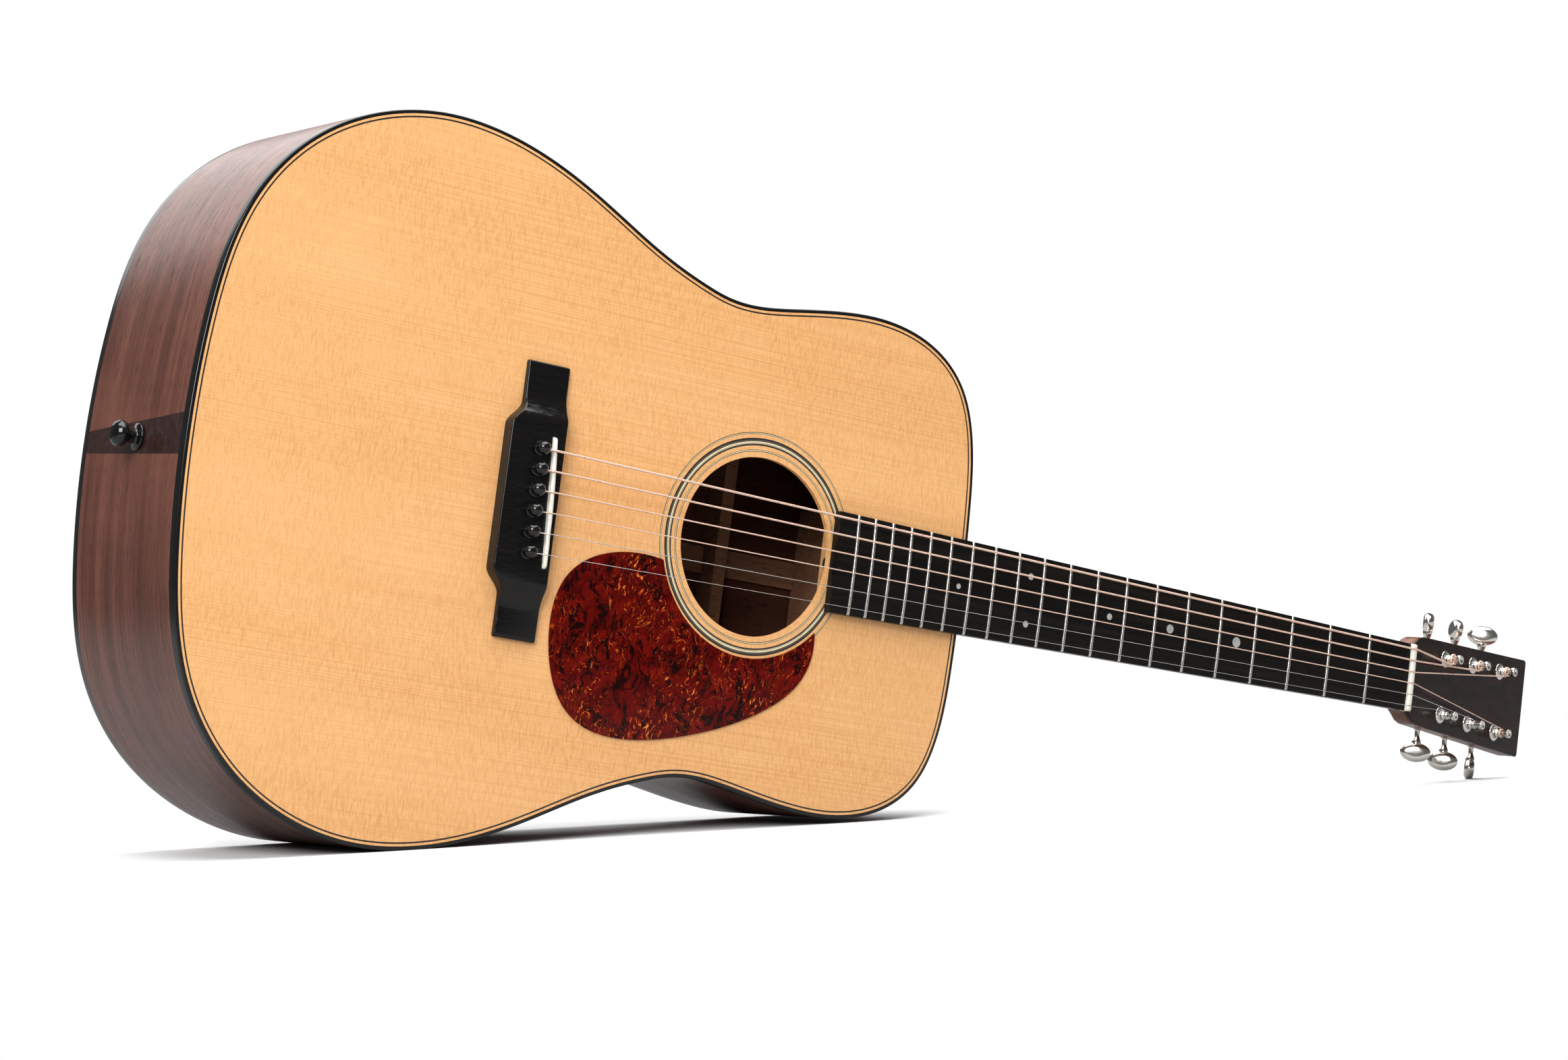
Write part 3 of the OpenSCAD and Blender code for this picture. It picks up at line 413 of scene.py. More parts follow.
def spruce(name, gloss=True, tone=1.0):
    more = {"Coat_Weight": 0.25, "Coat_Roughness": 0.1} if gloss else {}
    mat = material(name, (0.85, 0.5, 0.22), 0.4 if gloss else 0.75, **more)
    at = coords(mat)
    drift = noise(mat, coords(mat, (2.2, 14, 9)), 1.0, 2)
    lines = noise(mat, coords(mat, (1.6, 1250, 300)), 1.0, 2, 0.5, 0.1)
    fine = noise(mat, coords(mat, (22, 2300, 900)), 1.0, 2, 0.6)
    silk = noise(mat, coords(mat, (900, 150, 150)), 1.0, 3, 0.66, 0.9)
    cloud = noise(mat, at, 14.0, 4, 0.6)
    k = tone
    light, dark = (0.86 * k, 0.48 * k, 0.205 * k), (0.70 * k, 0.33 * k, 0.105 * k)
    col = blend(mat, span(mat, lines, 0.42, 0.70, 0, 0.75), light, dark)
    col = blend(mat, span(mat, fine, 0.45, 0.75, 0, 0.30), col, (0.70 * k, 0.32 * k, 0.10 * k))
    patch = times(mat, span(mat, silk, 0.44, 0.62, 0, 0.8), span(mat, cloud, 0.34, 0.60, 0.25, 1.0))
    col = blend(mat, patch, col, (0.60 * k, 0.265 * k, 0.082 * k))
    col = blend(mat, span(mat, cloud, 0.42, 0.68, 0, 0.45), col, (0.82 * k, 0.43 * k, 0.165 * k))
    col = blend(mat, span(mat, drift, 0.4, 0.7, 0, 0.25), col, (0.95 * k, 0.56 * k, 0.26 * k))
    link(mat, col, "Base Color")
    link(mat, span(mat, silk, 0.3, 0.8, 0.32 if gloss else 0.65, 0.46 if gloss else 0.85), "Roughness")
    bump(mat, blend(mat, 0.5, lines, silk), 0.12 if gloss else 0.35, 0.0002)
    return mat


def mahogany(name, dark, light, rough, coat, rim=False):
    """Grain runs along the guitar, or round the body where the wood is a bent side."""
    def grain(along, across):
        return coords(mat, (along, along if rim else across, across))

    mat = material(name, light, rough, Coat_Weight=coat, Coat_Roughness=0.05, Specular_IOR_Level=0.3)
    ribbon = noise(mat, grain(2.5, 60), 1.0, 3, 0.55, 0.15)
    streak = noise(mat, grain(7, 520), 1.0, 3, 0.6)
    pores = noise(mat, grain(95, 2100), 1.0, 1.5, 0.5)
    flame = noise(mat, coords(mat, (14, 14, 5)), 1.0, 2, 0.5, 0.1)
    col = blend(mat, span(mat, ribbon, 0.34, 0.68), dark, light)
    col = blend(mat, span(mat, streak, 0.40, 0.72, 0, 0.6), col, tuple(c * 0.55 for c in dark))
    col = blend(mat, span(mat, flame, 0.45, 0.7, 0, 0.3), col, tuple(c * 1.35 for c in light))
    hole = span(mat, pores, 0.62, 0.70)
    col = blend(mat, hole, col, tuple(c * 0.35 for c in dark))
    link(mat, col, "Base Color")
    link(mat, span(mat, streak, 0.3, 0.75, rough * 0.85, rough * 1.25), "Roughness")
    bump(mat, hole, 0.15 if coat else 0.4, -0.0001)
    return mat


def dark_wood(name, base, streak_color, rough, coat=0.0, shine=0.13):
    mat = material(name, base, rough, Coat_Weight=coat, Coat_Roughness=0.06, Specular_IOR_Level=shine)
    streak = noise(mat, coords(mat, (5, 190, 190)), 1.0, 4, 0.6, 0.4)
    pores = noise(mat, coords(mat, (130, 1900, 1900)), 1.0, 2, 0.55)
    wear = noise(mat, coords(mat, (30, 45, 45)), 1.0, 3)
    col = blend(mat, span(mat, streak, 0.45, 0.74), base, streak_color)
    col = blend(mat, span(mat, pores, 0.58, 0.70, 0, 0.7), col, tuple(c * 0.3 for c in base))
    link(mat, col, "Base Color")
    link(mat, span(mat, wear, 0.3, 0.7, rough * 0.8, rough * 1.25), "Roughness")
    bump(mat, span(mat, pores, 0.58, 0.72), 0.35, -0.0001)
    return mat


def metal(name, color, rough, smudge=0.08):
    mat = material(name, color, rough, Metallic=1.0)
    a = noise(mat, coords(mat), 160.0, 4, 0.6)
    b = noise(mat, coords(mat, (900, 900, 900)), 1.0, 2)
    col = blend(mat, span(mat, a, 0.35, 0.75, 0, 0.5), color, tuple(c * 0.78 for c in color))
    link(mat, col, "Base Color")
    link(mat, span(mat, a, 0.3, 0.75, rough, rough + smudge), "Roughness")
    bump(mat, b, 0.06, 0.00005)
    return mat


def plastic(name, color, rough, coat=0.3):
    mat = material(name, color, rough, Coat_Weight=coat, Coat_Roughness=0.04)
    a = noise(mat, coords(mat), 90.0, 4, 0.6)
    b = noise(mat, coords(mat), 1300.0, 2)
    light = tuple(min(1, c * 1.5 + 0.003) for c in color)
    link(mat, blend(mat, span(mat, a, 0.35, 0.7, 0, 0.5), color, light), "Base Color")
    link(mat, span(mat, a, 0.3, 0.75, rough, rough * 1.6), "Roughness")
    bump(mat, b, 0.04, 0.00004)
    return mat


def tortoise():
    mat = material("tortoise", (0.12, 0.004, 0.002), 0.07, Specular_IOR_Level=0.2)
    warp = noise(mat, coords(mat), 38.0, 3, 0.6)
    shift = node(mat, "VectorMath", {"operation": "MULTIPLY_ADD"},
                 i0=warp, i1=(0.03, 0.022, 0.02), i2=coords(mat))
    turned = node(mat, "Mapping", Vector=shift, Scale=(1.0, 0.45, 1), Rotation=(0, 0, 0.6))
    red = noise(mat, shift, 70.0, 5, 0.65, 1.4)
    dark = noise(mat, turned, 130.0, 5, 0.7, 1.8)
    fleck = noise(mat, turned, 210.0, 4, 0.62, 3.0)
    spot = noise(mat, coords(mat), 30.0, 2)
    col = ramp(mat, red, (0.30, (0.045, 0.0008, 0.0006)), (0.50, (0.10, 0.0022, 0.0012)),
               (0.70, (0.17, 0.006, 0.002)))
    col = blend(mat, span(mat, dark, 0.50, 0.57), col, (0.010, 0.0006, 0.0006))
    glow = times(mat, span(mat, fleck, 0.58, 0.66), span(mat, spot, 0.40, 0.56))
    col = blend(mat, glow, col, (0.55, 0.085, 0.008))
    hot = times(mat, span(mat, fleck, 0.66, 0.72), span(mat, spot, 0.44, 0.58))
    col = blend(mat, hot, col, (0.85, 0.36, 0.07))
    link(mat, col, "Base Color")
    link(mat, span(mat, spot, 0.3, 0.7, 0.05, 0.12), "Roughness")
    bump(mat, spot, 0.02, 0.0003)
    return mat


def bone():
    mat = material("bone", (0.86, 0.82, 0.72), 0.28, Subsurface_Weight=0.15, Coat_Weight=0.25)
    mat.node_tree.nodes["Principled BSDF"].inputs["Subsurface Scale"].default_value = 0.002
    a = noise(mat, coords(mat, (1, 1, 3)), 240.0, 4, 0.6)
    grain = noise(mat, coords(mat, (900, 60, 900)), 1.0, 2)
    col = blend(mat, span(mat, a, 0.35, 0.72), (0.90, 0.87, 0.79), (0.80, 0.74, 0.61))
    link(mat, blend(mat, span(mat, grain, 0.55, 0.75, 0, 0.3), col, (0.70, 0.61, 0.46)), "Base Color")
    link(mat, span(mat, a, 0.3, 0.7, 0.22, 0.38), "Roughness")
    bump(mat, grain, 0.06, 0.0001)
    return mat


def pearl():
    mat = material("pearl", (0.8, 0.8, 0.78), 0.18, Coat_Weight=0.6)
    a = noise(mat, coords(mat, (1, 0.6, 1)), 420.0, 3, 0.5, 1.6)
    col = ramp(mat, a, (0.3, (0.28, 0.31, 0.32)), (0.45, (0.44, 0.45, 0.44)), (0.58, (0.48, 0.42, 0.41)),
               (0.72, (0.34, 0.41, 0.38)))
    link(mat, col, "Base Color")
    link(mat, span(mat, a, 0.3, 0.7, 0.12, 0.3), "Roughness")
    return mat


def wound(name, color, pitch):
    """Round-wound string: a wrap wire of that pitch seen as fine ribs, with painted shade in the grooves
    between them.
    """
    mat = material(name, color, 0.4, Metallic=0.3)
    rib = node(mat, "TexWave", {"wave_type": "BANDS", "bands_direction": "X"}, Vector=coords(mat),
               Scale=0.314 / pitch / MM, Distortion=0.0)
    a = noise(mat, coords(mat), 90.0, 3)
    # Painted shade: the colour drops to 0.45 of the bronze in the grooves between the wrap ribs.
    col = blend(mat, span(mat, rib, 0.0, 0.5), tuple(c * 0.45 for c in color), color)
    link(mat, blend(mat, span(mat, a, 0.4, 0.7, 0, 0.4), col, tuple(c * 0.8 for c in color)), "Base Color")
    link(mat, span(mat, a, 0.3, 0.7, 0.24, 0.4), "Roughness")
    bump(mat, rib, 0.5, 0.00012)
    return mat


SPRUCE = spruce("spruce_top")
BRACE = spruce("brace_spruce", gloss=False, tone=0.82)
MAHOGANY = mahogany("mahogany_body", (0.034, 0.011, 0.007), (0.085, 0.031, 0.020), 0.24, 0.0)
MAHOGANY_SIDE = mahogany("mahogany_side", (0.095, 0.034, 0.024), (0.19, 0.074, 0.052), 0.24, 0.0, rim=True)
NECK_WOOD = mahogany("mahogany_neck", (0.085, 0.028, 0.014), (0.17, 0.060, 0.030), 0.42, 0.25)
BLOCK = mahogany("block_wood", (0.16, 0.07, 0.035), (0.27, 0.13, 0.07), 0.7, 0.0)
EBONY = dark_wood("ebony", (0.004, 0.0038, 0.0038), (0.008, 0.0065, 0.006), 0.10, 0.0, shine=0.32)
GRAFT = dark_wood("graft_wood", (0.026, 0.012, 0.010), (0.052, 0.025, 0.019), 0.2, 0.0, shine=0.3)
EBONY_CAD = dark_wood("ebony_board", (0.005, 0.0044, 0.0040), (0.014, 0.011, 0.009), 0.27, 0.0)
ROSEWOOD = dark_wood("rosewood", (0.011, 0.006, 0.005), (0.036, 0.015, 0.010), 0.16, 0.0)
BLACK = plastic("black_binding", (0.004, 0.004, 0.004), 0.14, 0.0)
PIN_BLACK = plastic("pin_black", (0.003, 0.003, 0.003), 0.10, 0.0)
TORTOISE = tortoise()
BONE = bone()
PEARL = pearl()
NICKEL = metal("tuner_nickel", (0.80, 0.77, 0.72), 0.10)
FRET = metal("fret_nickel", (0.60, 0.56, 0.52), 0.20, 0.1)
ROD = metal("rod_steel", (0.30, 0.29, 0.28), 0.35, 0.2)
STEEL = metal("plain_steel", (0.84, 0.83, 0.81), 0.14)
BRONZE = [wound(f"bronze_wound_{n}", (1.0, 0.70, 0.56), p) for n, p in enumerate((0.30, 0.36, 0.42, 0.48))]
CREAM = plastic("purfling_cream", (0.80, 0.66, 0.42), 0.35)
LINE = plastic("purfling_black", (0.016, 0.013, 0.011), 0.3)
GREY = plastic("purfling_grey", (0.16, 0.13, 0.10), 0.35)


def carry(name, mat, bevel=0.0):
    """Keeps a CAD node and gives it a material and softened edges."""
    obj = frame["nodes"][name]
    obj.data.materials.clear()
    obj.data.materials.append(mat)
    if bevel:
        soften(obj, bevel, 2)


def make(name, parts, mat, **how):
    return finish_piece(name, mesh_of(*(parts if isinstance(parts, tuple) else merge(*parts))), mat, **how)


# ---------------------------------------------------------------- body
make("soundboard_top", prism([outline(SIDE - 0.1), circle(HOLE_X, 0, HOLE_R)], -TOP, 0), SPRUCE,
     node="soundboard", slot="spruce_top", bevel=0.25)

rings = []
for t in np.linspace(0.001, 1, 22):
    mid = np.array([270.0, 0.0])
    rings.append([(x, y, back_z(x, y)) for x, y in mid + t * (outline(SIDE - 0.1) - mid)])
inner = [[(x, y, z + 2.6) for x, y, z in ring] for ring in rings]
make("back_panel", loft(rings + inner[::-1], closed=True), MAHOGANY, node="back_plate",
     slot="mahogany_body", smooth=60)

half_way = len(EDGE) // 2
levels = np.linspace(0, 1, 8)


def wall_level(x, y, t):
    top, low = -BIND, back_z(x, y) + BIND
    return top + t * (low - top)


wall = [(0, t) for t in levels] + [(SIDE, t) for t in levels[::-1]]
for name, a, b in (("side_bass", 0, half_way), ("side_treble", half_way, 2 * half_way)):
    make(name + "_panel", rim(wall, a, b, wall_level), MAHOGANY_SIDE, node=name,
         slot="mahogany_body", smooth=60)

arc = [(0.9 * (1 - math.cos(a)), -0.9 * (1 - math.sin(a))) for a in np.radians([0, 22, 45, 67, 90])]
make("binding_top_strip", rim([(0, -BIND)] + arc + [(SIDE, 0), (SIDE, -BIND)]), BLACK, node="binding_top",
     slot="black_binding")
make("binding_back_strip", rim([(0, BIND)] + [(i, -h) for i, h in arc] + [(SIDE, 0), (SIDE, BIND)],
                               level=lambda x, y, h: back_z(x, y) + h),
     BLACK, node="binding_back", slot="black_binding")
make("purfling_line", rim([(3.5, -1.0), (3.5, 0.02), (4.4, 0.02), (4.4, -1.0)]), LINE, node="purfling",
     slot="purfling_lines")

# End graft: a dark wedge let into the sides at the tail
tail = sorted((y, x) for x, y in EDGE if x < 20 and abs(y) < 40)
ys, xs = np.array(tail).T
rows = []
for t in levels:
    wide = 11 - 5 * t
    rows.append([(float(np.interp(y, ys, xs)) - 0.04, float(y), wall_level(0, 0, t))
                 for y in np.linspace(-wide, wide, 9)]
                + [(2.0, float(y), wall_level(0, 0, t)) for y in np.linspace(wide, -wide, 9)])
make("end_graft_wedge", loft(rows), GRAFT, node="end_graft", slot="ebony")

# Rosette: thin and thick rings let into the top round the soundhole
BLACK_RINGS = [(65.0, 64.55), (64.2, 63.95), (61.7, 60.55), (60.25, 59.75), (59.05, 58.85), (58.55, 58.4),
               (58.1, 57.4), (55.05, 54.75), (54.35, 53.95)]
CREAM_RINGS = [(59.75, 59.05), (58.85, 58.55), (64.55, 64.2), (54.75, 54.35)]
GREY_RINGS = [(60.55, 60.25), (58.4, 58.1)]


def ring_set(rings):
    return [loft([[(HOLE_X + r * math.cos(a), r * math.sin(a), z) for r, z in
                   ((o, -0.8), (o, 0.03), (i, 0.03), (i, -0.8))]
                  for a in (2 * math.pi * k / 240 for k in range(240))], closed=True) for o, i in rings]


make("rosette_black", ring_set(BLACK_RINGS), LINE, node="rosette", slot="purfling_lines")
make("rosette_cream", ring_set(CREAM_RINGS), CREAM, slot="purfling_lines")
make("rosette_grey", ring_set(GREY_RINGS), GREY, slot="purfling_lines")

# Pickguard, cut away round the rosette
guard, _ = spline(GUARD_FRAME, 24)
guard_mesh = cut(mesh_of(*prism([guard], 0.04, 0.8)), prism([circle(HOLE_X, 0, 63.2)], -1, 3))
finish_piece("pickguard_sheet", guard_mesh, TORTOISE, node="pickguard", slot="tortoise", bevel=0.35)


# ---------------------------------------------------------------- bridge
def ease(t):
    t = min(max(t, 0), 1)
    return (1 - math.cos(math.pi * t)) / 2


def bridge_height(y):
    y = abs(y)
    if y > 60:
        return 3.5 - 0.4 * (y - 60) / 16
    return 3.5 + 5.1 * (1 - math.sin(math.pi / 2 * max(0, (y - 46) / 14)))


rings = []
for y in np.concatenate([[-76, -75.93, -75.7, -75.4], np.linspace(-75, 75, 121), [75.4, 75.7, 75.93, 76]]):
    off = max(0, abs(y) - 75)
    soft = 0.8 - math.sqrt(max(0, 0.64 - min(off, 0.8) ** 2))
    h = bridge_height(y) - soft
    front, back = 221 - soft * 0.6, 194.8 - 8.6 * ease((53 - abs(y)) / 14) + soft * 0.6
    r = min(1.1, h * 0.3)
    bend = [(r * (1 - math.cos(a)), r * (1 - math.sin(a))) for a in np.radians([0, 22, 45, 67, 90])]
    top = [(front - i, h - d) for i, d in bend]
    slope = 0.35 * (h - 3.1) / 5.5
    low = [(back + i, h - slope - d) for i, d in bend[::-1]]
    rings.append([(x, float(y), z) for x, z in [(front, 0.02)] + top + low + [(back, 0.02)]])
bores = []
for n in range(6):
    place = Matrix.Translation((PIN_X, spread(n, PIN_SPREAD), 0))
    bores.append(lathe([(2.75, -0.5), (2.75, BRIDGE_Z - 0.7), (3.5, BRIDGE_Z + 0.2), (3.5, 12)], place, 32))
    y = spread(n, PIN_SPREAD)
    bores.append(tube([(STRING_X - 0.6, y, BRIDGE_Z - 3.2), (STRING_X + 6.6, y, BRIDGE_Z + 1.7)],
                      STRING_R[n] + 0.8, 16))
slot_turn = Matrix.Rotation(math.atan(3.6 / 72), 4, "Z")
saddle_mid = Matrix.Translation((215.2, 0, 0)) @ slot_turn
slot_corners = [(-1.36, -36.1), (-1.36, 36.1), (1.36, 36.1), (1.36, -36.1)]
hollow = [[tuple(saddle_mid @ Vector((x, y, z))) for x, y in slot_corners] for z in (3.5, 12)]
bores.append(loft(hollow))
finish_piece("bridge_block", cut(mesh_of(*loft(rings)), *bores), EBONY, node="bridge",
             slot="ebony", smooth=50)

# Saddle with a rounded crest, set back under the second string
rings = []
for y in np.concatenate([[-36, -35.9, -35.6, -35.1], np.linspace(-34.5, 34.5, 93), [35.1, 35.6, 35.9, 36]]):
    x = saddle_x(y)
    top = string_low(x, y * 0.97)
    end = max(0, abs(y) - 34)
    top -= 2 - math.sqrt(max(0, 4 - end * end))
    shift = -0.55 * math.exp(-((y + 17.0) / 5.2) ** 4)
    half = 1.3 - (0.35 if abs(y) > 35.8 else 0)
    bend = [(half * math.cos(a), 0.95 * math.sin(a))
            for a in np.radians([0, 25, 50, 75, 90, 105, 130, 155, 180])]
    sec = [(half, 3.6)] + [(i + shift * (d / 0.95), top - 0.95 + d) for i, d in bend] + [(-half, 3.6)]
    rings.append([tuple(saddle_mid @ Vector((i, float(y), z))) for i, z in sec])
make("saddle_bone", loft(rings), BONE, node="saddle", slot="bone", smooth=60)

# Nut with a slot for each string and rounded ends
rings = []
ends = [20.5, 20.9, 21.2, 21.4, 21.45]
for y in np.concatenate([[-e for e in ends[::-1]], np.arange(-20.2, 20.21, 0.1), ends]):
    top = string_low(NUT_X, 0) + 0.7 - 0.2 * (y / 21) ** 2
    for n in range(6):
        d = abs(y - spread(n, NUT_SPREAD))
        r = STRING_R[n] + 0.05
        if d < r:
            top = min(top, string_low(NUT_X, spread(n, NUT_SPREAD)) + r - math.sqrt(r * r - d * d) * 0.9)
    end = max(0, abs(y) - 20.25)
    top -= 1.2 - math.sqrt(max(0, 1.44 - end * end))
    bend = [(0.0, -1.1), (0.12, -0.55), (0.5, -0.12), (1.1, 0),
            (2.6, -0.08), (3.8, -0.5), (4.6, -1.3), (5.0, -2.4)]
    inset = 0.25 * (end / 1.2) ** 2
    rings.append([(NUT_X + 0.02 + inset, float(y), 0.02)]
                 + [(NUT_X + 0.02 + min(max(i, inset), 5 - inset), float(y), top + d) for i, d in bend]
                 + [(NUT_X + 5 - inset, float(y), 0.02)])
make("nut_bone", loft(rings), BONE, node="nut", slot="bone", smooth=50)


# ---------------------------------------------------------------- neck
def neck_section(x, half, thick):
    return [(x, half * math.cos(a), -thick * math.sin(a) ** 0.82)
            for a in (math.pi * k / 20 for k in range(21))]


HEAD_HALF = [(-1, 21.5), (1.5, 22.4), (4.5, 24.6), (8, 26.8), (13, 28.3), (148.5, 32.5), (150, 31)]


def head_loop(grow=0.0):
    half = [(u, y + grow) for u, y in HEAD_HALF]
    return half + [(u, -y) for u, y in half[::-1]]


def head_solid(loop, low, high):
    verts, faces = prism([loop], low, high)
    return [on_head(*v) for v in verts], faces


shaft = loft([neck_section(BODY + (NUT_X + 1 - BODY) * t, board_half(BODY + (NUT_X + 1 - BODY) * t) - 0.1,
                           17 - 2.8 * t) for t in np.linspace(0, 1, 30)])
heel = []
for t in np.linspace(0, 1, 26):
    reach = 13 + 49 * (1 - t) ** 2.6
    half = (board_half(BODY) - 0.3) * (1 - 0.5 * t ** 1.3)
    heel.append([(BODY + 0.2 + reach * math.cos(a), half * math.sin(a), -2 - 92 * t)
                 for a in (math.pi * (k / 20 - 0.5) for k in range(21))])
blank = head_solid(head_loop(), -14, -2)
knee = []
for t in np.linspace(0, 1, 12):
    a = neck_section(NUT_X + 5 - 30, board_half(NUT_X - 25) - 0.1, 14.3)
    curve = [(23 * math.cos(s), -2.2 - 11.6 * math.sin(s) ** 0.6)
             for s in (math.pi * k / 20 for k in range(21))]
    b = [on_head(13, y * 0.92, w) for y, w in curve]
    sag = 1.5 * math.sin(math.pi * t)
    knee.append([tuple(np.array(p) * (1 - t) + np.array(q) * t
                       - np.array([0, 0, sag if p[2] < -6 else 0])) for p, q in zip(a, b)])
neck_obj = make("neck_wood", [shaft, loft(heel), blank, loft(knee)], NECK_WOOD, node="neck",
                slot="mahogany_neck")
for kind, settings in (("REMESH", {"mode": "VOXEL", "voxel_size": 0.0009, "use_smooth_shade": True}),
                       ("SMOOTH", {"factor": 0.5, "iterations": 5}),
                       ("DECIMATE", {"ratio": 0.4})):
    m = neck_obj.modifiers.new(kind.lower(), kind)
    for k, v in settings.items():
        setattr(m, k, v)
bpy.context.view_layer.update()
done = bpy.data.meshes.new_from_object(neck_obj.evaluated_get(bpy.context.evaluated_depsgraph_get()))
neck_obj.modifiers.clear()
neck_obj.data = done
done.shade_smooth()

cap = [(BODY + 0.2 + 13 * math.cos(a), board_half(BODY) / 2 * math.sin(a))
       for a in np.radians(np.linspace(-90, 90, 30))]
make("heel_cap_plate", prism([cap], -96.4, -94.0), BLACK, node="heel_cap", slot="ebony", bevel=0.5)
holes = [circle(POST_U[i], s * POST_Y[i], 4.3, 40) for i in range(3) for s in (-1, 1)]
verts, faces = prism([[(max(u, 0.02), y) for u, y in head_loop(0.05)]] + holes, -2, 0)
make("headplate_veneer", ([on_head(*v) for v in verts], faces), ROSEWOOD, node="headplate",
     slot="rosewood", bevel=0.5)

carry("fingerboard", EBONY_CAD, 0.35)
carry("fingerboard_dots", PEARL)
crown = [(1.05, 0), (1.02, 0.35), (0.85, 0.72), (0.55, 0.98), (0.2, 1.1),
         (-0.2, 1.1), (-0.55, 0.98), (-0.85, 0.72), (-1.02, 0.35), (-1.05, 0)]
bars = []
for n in range(1, 21):
    x, half = fret_x(n), board_half(fret_x(n)) - 0.05
    rings = []
    ends = [half - 1.1, half - 0.6, half - 0.25, half]
    for y in np.concatenate([[-e for e in ends[::-1]], np.linspace(-half + 2, half - 2, 15), ends]):
        e = min(1, (half - abs(y)) / 1.1)
        k = 0.25 + 0.75 * math.sin(e * math.pi / 2)
        z = BOARD - y * y / 2 / RADIUS
        rings.append([(x + i * (0.9 + 0.1 * k), float(y), z - 0.02 + h * k) for i, h in crown])
    bars.append(loft(rings))
make("fret_wires", bars, FRET, node="frets", slot="fret_nickel", smooth=50)

# ---------------------------------------------------------------- interior, from the CAD nodes
for name, mat in (("neck_block", BLOCK), ("tail_block", BLOCK), ("lining_top", BRACE),
                  ("lining_back", BRACE), ("x_brace", BRACE), ("tone_bars", BRACE),
                  ("finger_braces", BRACE), ("transverse_brace", BRACE),
                  ("back_braces", BLOCK), ("back_center_strip", BLOCK), ("bridge_plate", BLOCK)):
    carry(name, mat, 0.4)
for name in ("truss_rod", "truss_rod_nut"):
    carry(name, ROD, 0.2)


# ---------------------------------------------------------------- pins
pin_profile = rounded([(0.01, -15.4), (2.15, -15.4), (2.62, 8.6), (2.7, 8.66), (3.9, 8.66),
                       (3.95, 9.4)], 0.15)
head = [(3.9 * math.cos(a), 9.5 + 3.2 + 3.9 * math.sin(a))
        for a in np.radians(np.linspace(-52, 90, 16))]
for n in range(6):
    y = spread(n, PIN_SPREAD)
    place = Matrix.Translation((PIN_X, y, 0))
    solid = mesh_of(*lathe(pin_profile + [(3.4, 9.75), (2.4, 9.9)] + head, place, 40))
    groove = loft([[(STRING_X - 0.75 + (2.9 if k in (1, 2) else 0), y + (0.85 if k > 1 else -0.85), z)
                    for k in range(4)] for z in (-16, 8.5)])
    finish_piece(f"pin_{n + 1}", cut(solid, groove), PIN_BLACK, body=f"bridge_pin_{n + 1}",
                 node=f"bridge_pin_{n + 1}", slot="pin_black")
end_profile = rounded([(0.01, -24), (5.2, -24), (5.85, -23), (5.85, 0.32), (7.4, 0.32), (7.4, 1.8),
                       (4.7, 2.7), (4.2, 3.5), (4.2, 6.8), (5.2, 7.4), (6.5, 8.6), (7.2, 10.5),
                       (6.9, 12.6), (5.6, 14.4), (3.4, 15.55), (0.01, 15.85)], 0.5)
tail_place = Matrix.Translation((0, 0, -56)) @ Matrix.Rotation(-math.pi / 2, 4, "Y")
make("end_pin_turned", lathe(end_profile, tail_place, 56), PIN_BLACK, body="end_pin",
     node="end_pin", slot="pin_black")


# ---------------------------------------------------------------- strings
def wind_point(n):
    i, r = POST_OF[n], STRING_R[n]
    return on_head(POST_U[i] - 1.5, side_of(n) * (POST_Y[i] - 2.3 - 2 * r - 0.25), 5.2 + r)


def string_material(n):
    return STEEL if n < 2 else BRONZE[n - 2]


for n in range(6):
    r, y = STRING_R[n], spread(n, PIN_SPREAD)
    sx = saddle_x(string_y(n, saddle_x(y)))
    sy, ny = string_y(n, sx), spread(n, NUT_SPREAD)
    sz, nz = string_low(sx, sy) + r, string_low(NUT_X, ny) + r
    ball_x, ball_z = PIN_X + 2.65 + 2.0, -TOP - 2.5 - 2.1
    route = [(ball_x, y, ball_z), (STRING_X + 0.7, y, ball_z + 0.2), (STRING_X, y, ball_z + 1.2),
             (STRING_X, y, BRIDGE_Z - 3), (STRING_X + 0.6, y, BRIDGE_Z - 1.6),
             (sx - 1.4, sy, sz - 0.25), (sx, sy, sz + 0.02)]
    line = smooth_route(route + [(NUT_X - 1, ny, nz)], 0.8)[:-1]
    line += [Vector((sx, sy, sz)).lerp(Vector((NUT_X, ny, nz)), t) for t in np.linspace(0.02, 1, 50)]
    line += [Vector((NUT_X + dx, ny, nz - dz)) for dx, dz in ((1.5, 0.02), (3.2, 0.12), (4.6, 0.45))]
    line.append(Vector(wind_point(n)))
    ball = lathe(rounded([(0.6, -1.6), (1.9, -1.6), (1.2, 0), (1.9, 1.6), (0.6, 1.6)], 0.3),
                 Matrix.Translation((ball_x, y, ball_z)) @ Matrix.Rotation(math.pi / 2, 4, "X"), 24)
    make(f"string_wire_{n + 1}", [tube(line, r), ball], string_material(n), node=f"string_{n + 1}",
         slot="plain_steel" if n < 2 else "bronze_wound")

# ---------------------------------------------------------------- tuners
HEAD = Matrix((Vector((math.cos(HEAD_ANGLE), 0, -math.sin(HEAD_ANGLE))), Vector((0, 1, 0)),
               Vector((math.sin(HEAD_ANGLE), 0, math.cos(HEAD_ANGLE))))).transposed().to_4x4()
HEAD = Matrix.Translation(HEAD_O) @ HEAD
bush = rounded([(3.1, -7), (4.25, -7), (4.25, 0.02), (5.6, 0.02), (5.5, 0.5), (4.6, 1.25),
                (3.4, 1.3), (3.1, 1.1), (3.1, -7)], 0.25)
bushes = [lathe(bush, HEAD @ Matrix.Translation((POST_U[i], s * POST_Y[i], 0)), 48)
          for i in range(3) for s in (-1, 1)]
make("bushings_turned", bushes, NICKEL, node="tuner_bushings", slot="tuner_nickel", smooth=50)
carry("tuner_plates", NICKEL, 0.25)
carry("tuner_screws", NICKEL, 0.12)

